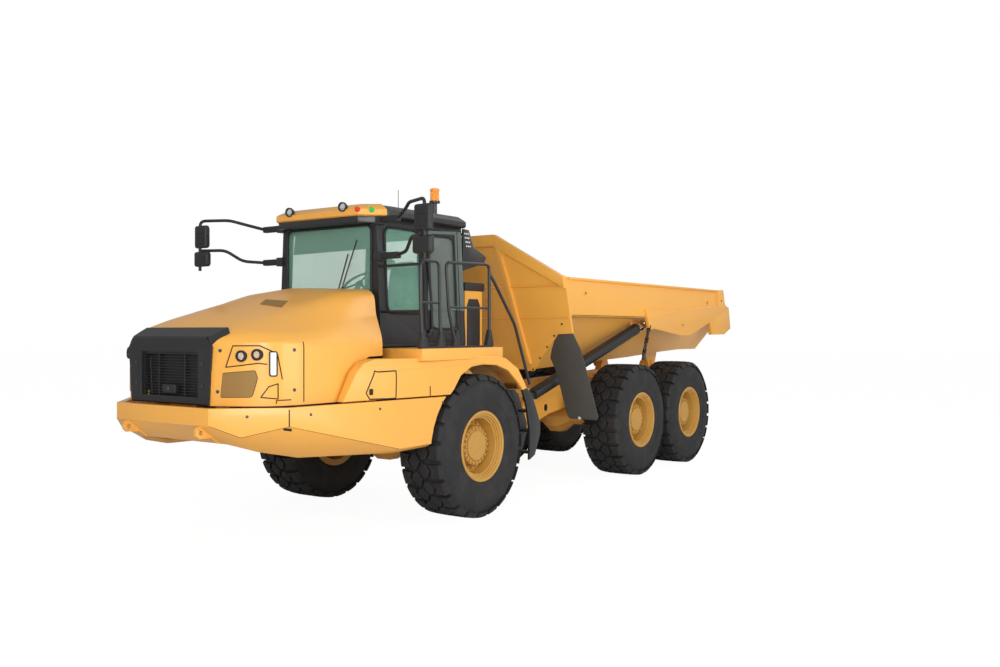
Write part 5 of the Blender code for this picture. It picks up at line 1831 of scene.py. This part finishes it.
@dataclass
class Rails:
    """Round handrails on the left fender, with feet, the bars to the cab and the slope to the ladder."""

    x: float = 1.38
    foot: float = 1.9205
    # Y and height of each hoop's corners, and Y and height of the bars across them
    hoops: tuple[Outline, ...] = (
        ((-1.0, 1.9205), (-1.03, 2.31), (-1.03, 2.84), (-0.73, 2.84), (-0.70, 1.9205)),
        ((-0.43, 1.9205), (-0.56, 2.31), (-0.61, 2.84), (0.18, 2.86), (0.18, 1.9205)),
    )
    bars: tuple[Outline, ...] = (((-1.03, 2.40), (-0.715, 2.40)), ((-0.565, 2.36), (0.18, 2.36)))
    slope: tuple[Point, ...] = (
        (1.38, 0.18, 2.76), (1.40, 0.22, 2.70), (1.405, 0.66, 2.18), (1.41, 0.97, 1.46),
    )
    to_cab: tuple[float, float] = (2.31, 2.80)

    def build(self) -> None:
        """Adds the rails."""
        x, foot = self.x, self.foot
        bars = [
            *[tube([(x, y, z) for y, z in hoop], 0.018, 14, 0.07) for hoop in self.hoops],
            *[tube([(x, y, z) for y, z in bar], 0.013, 10) for bar in self.bars],
            *[tube([(Cab().side(z, 0.002), -0.97, z), (x, -1.03, z)], 0.015, 10) for z in self.to_cab],
            tube(self.slope, 0.018, 14, 0.07),
            slab((x - 0.03, x + 0.018), (-1.04, 0.22), (foot, foot + 0.02)),
        ]
        base, peak = foot + 0.01, foot + 0.20
        for y in [hoop[end][0] for hoop in self.hoops for end in (0, -1)]:
            outline = ((y - 0.07, base), (y + 0.07, base), (y + 0.02, peak), (y - 0.01, peak))
            bars.append(plate(outline, "X", x - 0.028, x + 0.016))
        trim("round_handrails", bars, "tractor", Finish.BLACK, Slot.BLACK, ["handrails_left"])


@dataclass
class Ram:
    """A smooth cylinder with its chromed rod between two pins."""

    kind: str
    side: Side
    base: Point
    eye: Point
    pin: Point
    barrel_r: float
    rod_r: float
    eye_r: float
    eye_half: float
    shut: float
    stroke: float

    def build(self) -> None:
        """Adds the barrel and the rod."""
        flip = Vector((self.side.value, 1, 1))
        base, eye = Vector(self.base) * flip, Vector(self.eye) * flip
        run = (eye - base).normalized()
        pin = Vector(self.pin) * flip
        pin = (pin - pin.dot(run) * run).normalized()
        reach = (eye - base).length
        mouth = reach - self.shut - self.eye_r - 0.06
        inner = mouth - (self.stroke - self.shut) - 0.08
        blind = inner - self.shut - 0.01
        neck = self.eye_half - 0.004
        r = self.barrel_r
        along = facing(run, base)
        barrel = turned((
            (0, 0.02), (neck, 0.02), (neck, self.eye_r + 0.012), (r - 0.008, self.eye_r + 0.025),
            (r, self.eye_r + 0.035),
            (r, mouth - 0.09), (r + 0.002, mouth - 0.088), (r + 0.002, mouth - 0.02), (r - 0.006, mouth),
            (self.rod_r + 0.0005, mouth), (self.rod_r + 0.0005, blind), (0, blind)), 40)
        rod = disc(self.rod_r, inner, reach - self.eye_r * 0.5, 32)
        shift = Matrix.Translation(run * reach)
        ring = turned(((self.eye_r * 0.45, -self.eye_half), (self.eye_r - 0.004, -self.eye_half),
                       (self.eye_r, -self.eye_half + 0.004), (self.eye_r, self.eye_half - 0.004),
                       (self.eye_r - 0.004, self.eye_half), (self.eye_r * 0.45, self.eye_half)), 36)
        plug = disc(self.eye_r * 0.45, -self.eye_half * 0.9, self.eye_half * 0.9, 24)
        knuckle = moved(joined((ring, plug)), facing(pin, base))
        word = self.side.word
        for part, finish, slot, shapes in (
            ("barrel", Finish.BLACK, Slot.BLACK, [moved(barrel, along), knuckle.copy()]),
            ("rod", Finish.ROD, Slot.ROD, [moved(rod, along), moved(knuckle, shift)]),
        ):
            node = f"{self.kind}_{part}_{word}"
            trim(f"{node}_skin", shapes, body_of(frame["nodes"][node])[0], finish, slot, [node])


@dataclass
class Stack:
    """The dark louvre and cap of the intake stack behind the cab."""

    # Y and height of the louvre's outline
    louvre: Outline = (
        (0.78, 1.62), (0.76, 1.70), (0.76, 2.42), (0.80, 2.50), (0.98, 2.50), (1.02, 2.42), (1.02, 1.70),
        (0.98, 1.62),
    )
    slats: int = 22
    pitch: float = 0.034

    def build(self) -> None:
        """Adds them."""
        slat = rounded(slab((0.630, 0.636), (0.79, 0.99), (1.70, 1.712)), 0.002)
        shapes = [
            rounded(plate(self.louvre, "X", 0.615, 0.632), 0.006, 2),
            ArrayTree.row(slat, Finish.SATIN, self.slats, (0, 0, self.pitch)),
            rounded(slab((0.255, 0.645), (0.695, 1.105), (2.60, 2.705)), 0.02, 3),
        ]
        trim("stack_louvre", shapes, "tractor", Finish.SATIN, Slot.YELLOW)


@dataclass
class Tipper:
    """Trim of the tipping body: top rails, ribs, lifting eyes, bolts and chains, and the frame's rings, with
    painted shade in the eyes and holes.
    """

    eyes: tuple[Point, ...] = ((1.380, 2.357, 2.604), (1.380, 6.40, 2.577))
    # y, z and half length of each cross rib on the front wall
    ribs: tuple[tuple[float, float, float], ...] = ((1.852, 2.69, 1.30), (1.967, 2.277, 1.36))
    ledge: tuple[Point, ...] = (
        (1.415, 4.23, 2.29), (1.415, 5.05, 2.40), (1.415, 6.15, 2.479), (1.415, 6.62, 2.506),
    )
    ring: Point = (1.419, 5.34, 2.204)
    front: Point = (0, -0.966, -0.26)
    bolts: tuple[Point, ...] = (
        (1.241, 1.989, 2.193), (1.099, 2.03, 2.04), (0.962, 2.071, 1.891), (0.823, 2.112, 1.738),
        (0.687, 2.154, 1.583),
    )
    frame_hole: Point = (0.4605, 2.81, 1.014)
    chain_top: Point = (1.40, 4.21, 2.18)
    chain_end: Point = (1.40, 3.99, 1.67)
    links: int = 6
    # radius and height of the collars round the eyes, the boss and the frame's holes
    collar: Outline = ((0.020, 0), (0.042, 0), (0.042, 0.010), (0.020, 0.010))
    boss: Outline = ((0.020, 0), (0.045, 0), (0.045, 0.008), (0.020, 0.008))
    hole_rim: Outline = (
        (0.052, -0.003), (0.085, -0.003), (0.085, 0.012), (0.078, 0.016), (0.058, 0.016), (0.052, 0.010),
    )
    rail: tuple[Point, Point, Point] = ((1.352, 1.405), (1.90, 6.90), (2.768, 2.7995))
    seam: tuple[Point, Point] = ((1.381, 2.02, 2.31), (1.381, 6.85, 2.31))
    end_hole: Point = (1.409, 6.95, 2.62)
    flap_bolt: Point = (1.148, 2.600, 0.916)
    flap_front: Point = (0, -0.91, -0.43)

    def chains(self) -> None:
        """The links over the chains at the side beams."""
        top, end = Vector(self.chain_top), Vector(self.chain_end)
        run = (end - top).normalized()
        over = Vector((0, -run.z, run.y))
        half = (end - top).length / self.links * 0.66
        chain = []
        for k in range(self.links):
            wide, thin = (0.029, 0.0115) if k % 2 else (0.0115, 0.029)
            middle = top.lerp(end, (k + 0.5) / self.links)
            corners = [middle + run * a * half + over * b * wide
                       for a, b in ((-1, -1), (1, -1), (1, 1), (-1, 1))]
            link = plate([(c.y, c.z) for c in corners], "X", middle.x - thin, middle.x + thin)
            chain += both(rounded(link, 0.009, 3))
        trim("body_chains", chain, "tipping_body", Finish.SATIN, Slot.BLACK)

    def build(self) -> None:
        """Adds the trim."""
        out = (1, 0, 0)

        def paired(shapes: Iterable[Shape]) -> list[Shape]:
            """The shapes and their copies on the other side."""
            return [part for bm in shapes for part in both(bm)]

        ribs = [tube([(-half, y - 0.004, z), (half, y - 0.004, z)], 0.013, 8) for y, z, half in self.ribs]
        rails = [
            rounded(slab(*self.rail), 0.006),
            tube(self.ledge, 0.009, 8),
            *[standing(turned(self.collar, 28), out, place) for place in self.eyes],
            standing(turned(self.boss, 28), out, self.ring),
        ]
        trim("body_rails", [*ribs, *paired(rails)], "tipping_body", Finish.YELLOW, Slot.YELLOW)
        # painted shade: dark discs fill the lifting eyes
        dots = [standing(disc(0.021, 0, 0.003), out, place) for place in self.eyes]
        dots += [standing(disc(0.014, -0.004, 0.004, 16), self.front, place) for place in self.bolts]
        trim("body_bolts", paired(dots), "tipping_body", Finish.SEAL, Slot.YELLOW)
        flap = standing(hex_bolt(0.030, 0.010), self.flap_front, self.flap_bolt)
        trim("flap_bolts", both(flap), "tipping_body", Finish.BARE, Slot.BLACK)
        # the frame's holes are dark discs of painted shade inside yellow rings
        for name, bm, finish in (
            ("frame_rings", turned(self.hole_rim, 36), Finish.YELLOW),
            ("frame_holes", disc(0.053, -0.002, 0.003, 32), Finish.SEAL),
        ):
            trim(name, both(standing(bm, out, self.frame_hole)), "rear_chassis", finish, Slot.YELLOW)
        self.chains()
        # painted shade: dark discs fill the ring hole and the end hole
        holes = [standing(disc(0.020, 0, 0.004), out, self.ring),
                 standing(disc(0.016, 0, 0.004), out, self.end_hole), tube(self.seam, 0.004, 6)]
        trim("body_holes", paired(holes), "tipping_body", Finish.SEAL, Slot.YELLOW)


@dataclass
class Studio:
    """The camera where the photograph was taken, pale ground and soft lights."""

    eye: tuple[float, float, float] = (7.7497, -8.6176, 2.1034)
    look: tuple[float, float, float] = (-0.5772, 0.8166, -0.0027)
    lens: float = 34.26
    floor_size: float = 120.0
    floor_grey: float = 0.86
    floor_lift: float = 0.88
    sky: float = 0.40
    gloss: float = 0.25
    # name, place, aim, size and watts of each lamp
    lamps: tuple[tuple[str, Point, Point, float, float], ...] = (
        ("key", (8.5, -12.0, 5.0), (0.4, -1.0, 1.4), 5.0, 1020.0),
        ("side", (13.0, 1.0, 4.0), (0.5, 1.5, 1.5), 6.0, 620.0),
        ("back", (3.0, 11.0, 9.0), (0.5, 3.0, 1.5), 8.0, 300.0),
    )

    def camera(self) -> None:
        """Sets the scene's camera."""
        data = bpy.data.cameras.new("camera")
        data.lens = self.lens
        data.sensor_width = 36.0
        data.clip_end = 300.0
        camera = bpy.data.objects.new("camera", data)
        bpy.context.scene.collection.objects.link(camera)
        camera.location = Vector(self.eye) + FORWARD
        camera.rotation_euler = Vector(self.look).to_track_quat("-Z", "Y").to_euler()
        bpy.context.scene.camera = camera

    def ground(self) -> None:
        """A pale floor that looks almost white to the camera and keeps the shadow."""
        bm = slab((-self.floor_size, self.floor_size), (-self.floor_size, self.floor_size), (-0.02, 0.0))
        mesh = bpy.data.meshes.new("floor")
        bm.to_mesh(mesh)
        bm.free()
        floor = bpy.data.objects.new("floor", mesh)
        bpy.context.scene.collection.objects.link(floor)
        shader = Shader("pale floor")
        shader.surface(Base_Color=rgba((1, 1, 1), self.floor_grey), Roughness=0.7, Specular_IOR_Level=0.2)
        path = shader.tree.nodes.new("ShaderNodeLightPath")
        seen = Value(shader.tree, path.outputs["Is Camera Ray"]) * self.floor_lift
        white = shader.tree.nodes.new("ShaderNodeEmission")
        white.inputs["Strength"].default_value = 1.08
        blend = shader.tree.nodes.new("ShaderNodeMixShader")
        output = shader.tree.nodes["Material Output"]
        shader.tree.links.new(seen.socket, blend.inputs[0])
        shader.tree.links.new(shader.principled.outputs[0], blend.inputs[1])
        shader.tree.links.new(white.outputs[0], blend.inputs[2])
        shader.tree.links.new(blend.outputs[0], output.inputs["Surface"])
        mesh.materials.append(shader.material)

    def world(self) -> None:
        """A grey sky that shows as white to the eye, in gloss and through glass."""
        world = bpy.data.worlds.new("sky")
        bpy.context.scene.world = world
        world.use_nodes = True
        tree = world.node_tree
        background = tree.nodes["Background"]
        background.inputs["Color"].default_value = (1, 1, 1, 1)
        path = tree.nodes.new("ShaderNodeLightPath")
        seen = Value(tree, path.outputs["Is Camera Ray"])
        for name, share in (("Is Glossy Ray", self.gloss), ("Is Transmission Ray", 1.0)):
            seen = seen.math("MAXIMUM", Value(tree, path.outputs[name]) * share)
        strength = seen * (1 - self.sky) + self.sky
        tree.links.new(strength.socket, background.inputs["Strength"])

    def lights(self) -> None:
        """Soft area lamps."""
        for name, place, aim, size, watts in self.lamps:
            data = bpy.data.lights.new(name, "AREA")
            data.size = size
            data.energy = watts
            lamp = bpy.data.objects.new(name, data)
            bpy.context.scene.collection.objects.link(lamp)
            lamp.location = Vector(place) + FORWARD
            lamp.rotation_euler = (Vector(aim) - Vector(place)).to_track_quat("-Z", "Y").to_euler()

    def build(self) -> None:
        """Sets the whole stage."""
        self.camera()
        self.ground()
        self.world()
        self.lights()
        bpy.context.scene.view_settings.view_transform = "Standard"


# The cylinders: kind, base, eye, pin, radii of barrel, rod and eye, half width of the eye, stroke still to
# come in and whole stroke
RAMS = (
    ("hoist", (0.74, 1.95, 1.22), (1.27, 4.21, 2.19), (0.818, -0.378, 0.433),
     0.082, 0.045, 0.07, 0.045, 0.0, 2.20),
    ("steering", (0.54, -0.30, 1.10), (0.42, 1.25, 1.10), (0, 0, 1),
     0.05, 0.028, 0.055, 0.05, 0.31, 0.62),
)

# Nodes whose form is kept, with their finish, slot and edge width
CARRIED = (
    ("front_frame", Finish.YELLOW, Slot.YELLOW, 0.003),
    ("front_bumper", Finish.YELLOW, Slot.YELLOW, 0.006),
    ("front_axle", Finish.YELLOW, Slot.YELLOW, 0.0),
    ("mid_axle", Finish.YELLOW, Slot.YELLOW, 0.0),
    ("rear_axle", Finish.YELLOW, Slot.YELLOW, 0.0),
    ("walking_beam_left", Finish.YELLOW, Slot.YELLOW, 0.006),
    ("walking_beam_right", Finish.YELLOW, Slot.YELLOW, 0.006),
    ("rear_frame", Finish.YELLOW, Slot.YELLOW, 0.003),
    ("dump_body", Finish.YELLOW, Slot.YELLOW, 0.003),
    ("intake_stack", Finish.YELLOW, Slot.YELLOW, 0.008),
    ("cab_shell", Finish.BLACK, Slot.BLACK, 0.003),
    ("cab_door", Finish.BLACK, Slot.BLACK, 0.003),
    ("cab_floor", Finish.SATIN, Slot.BLACK, 0.002),
    ("ladder_left", Finish.BLACK, Slot.BLACK, 0.003),
    ("engine", Finish.STEEL, Slot.STEEL, 0.01),
    ("hitch", Finish.STEEL, Slot.STEEL, 0.003),
    ("body_mudflap_left", Finish.SHEET, Slot.SHEET, 0.002),
    ("body_mudflap_right", Finish.SHEET, Slot.SHEET, 0.002),
    ("windscreen", Finish.GLASS, Slot.GLASS, 0.0),
    ("rear_window", Finish.GLASS, Slot.GLASS, 0.0),
    ("side_window_left", Finish.GLASS, Slot.GLASS, 0.0),
    ("side_window_right", Finish.GLASS, Slot.GLASS, 0.0),
    ("door_glass", Finish.DOOR_GLASS, Slot.GLASS, 0.0),
)


def main() -> None:
    """Builds every sub-assembly in order."""
    logging.basicConfig(level=logging.INFO, format="%(message)s")
    Studio().build()
    for row in CARRIED:
        Carried(*row).dress()
    for assembly in (Hood(), Grille(), Skirt(), Cab(), Mirrors(), Rails(), Stack(), Tipper()):
        assembly.build()
    for side in Side:
        for kind, *sizes in RAMS:
            Ram(kind, side, *sizes).build()
        for row in ("front", "mid", "rear"):
            Wheel(row, side).build()


if __name__ == "__main__":
    main()
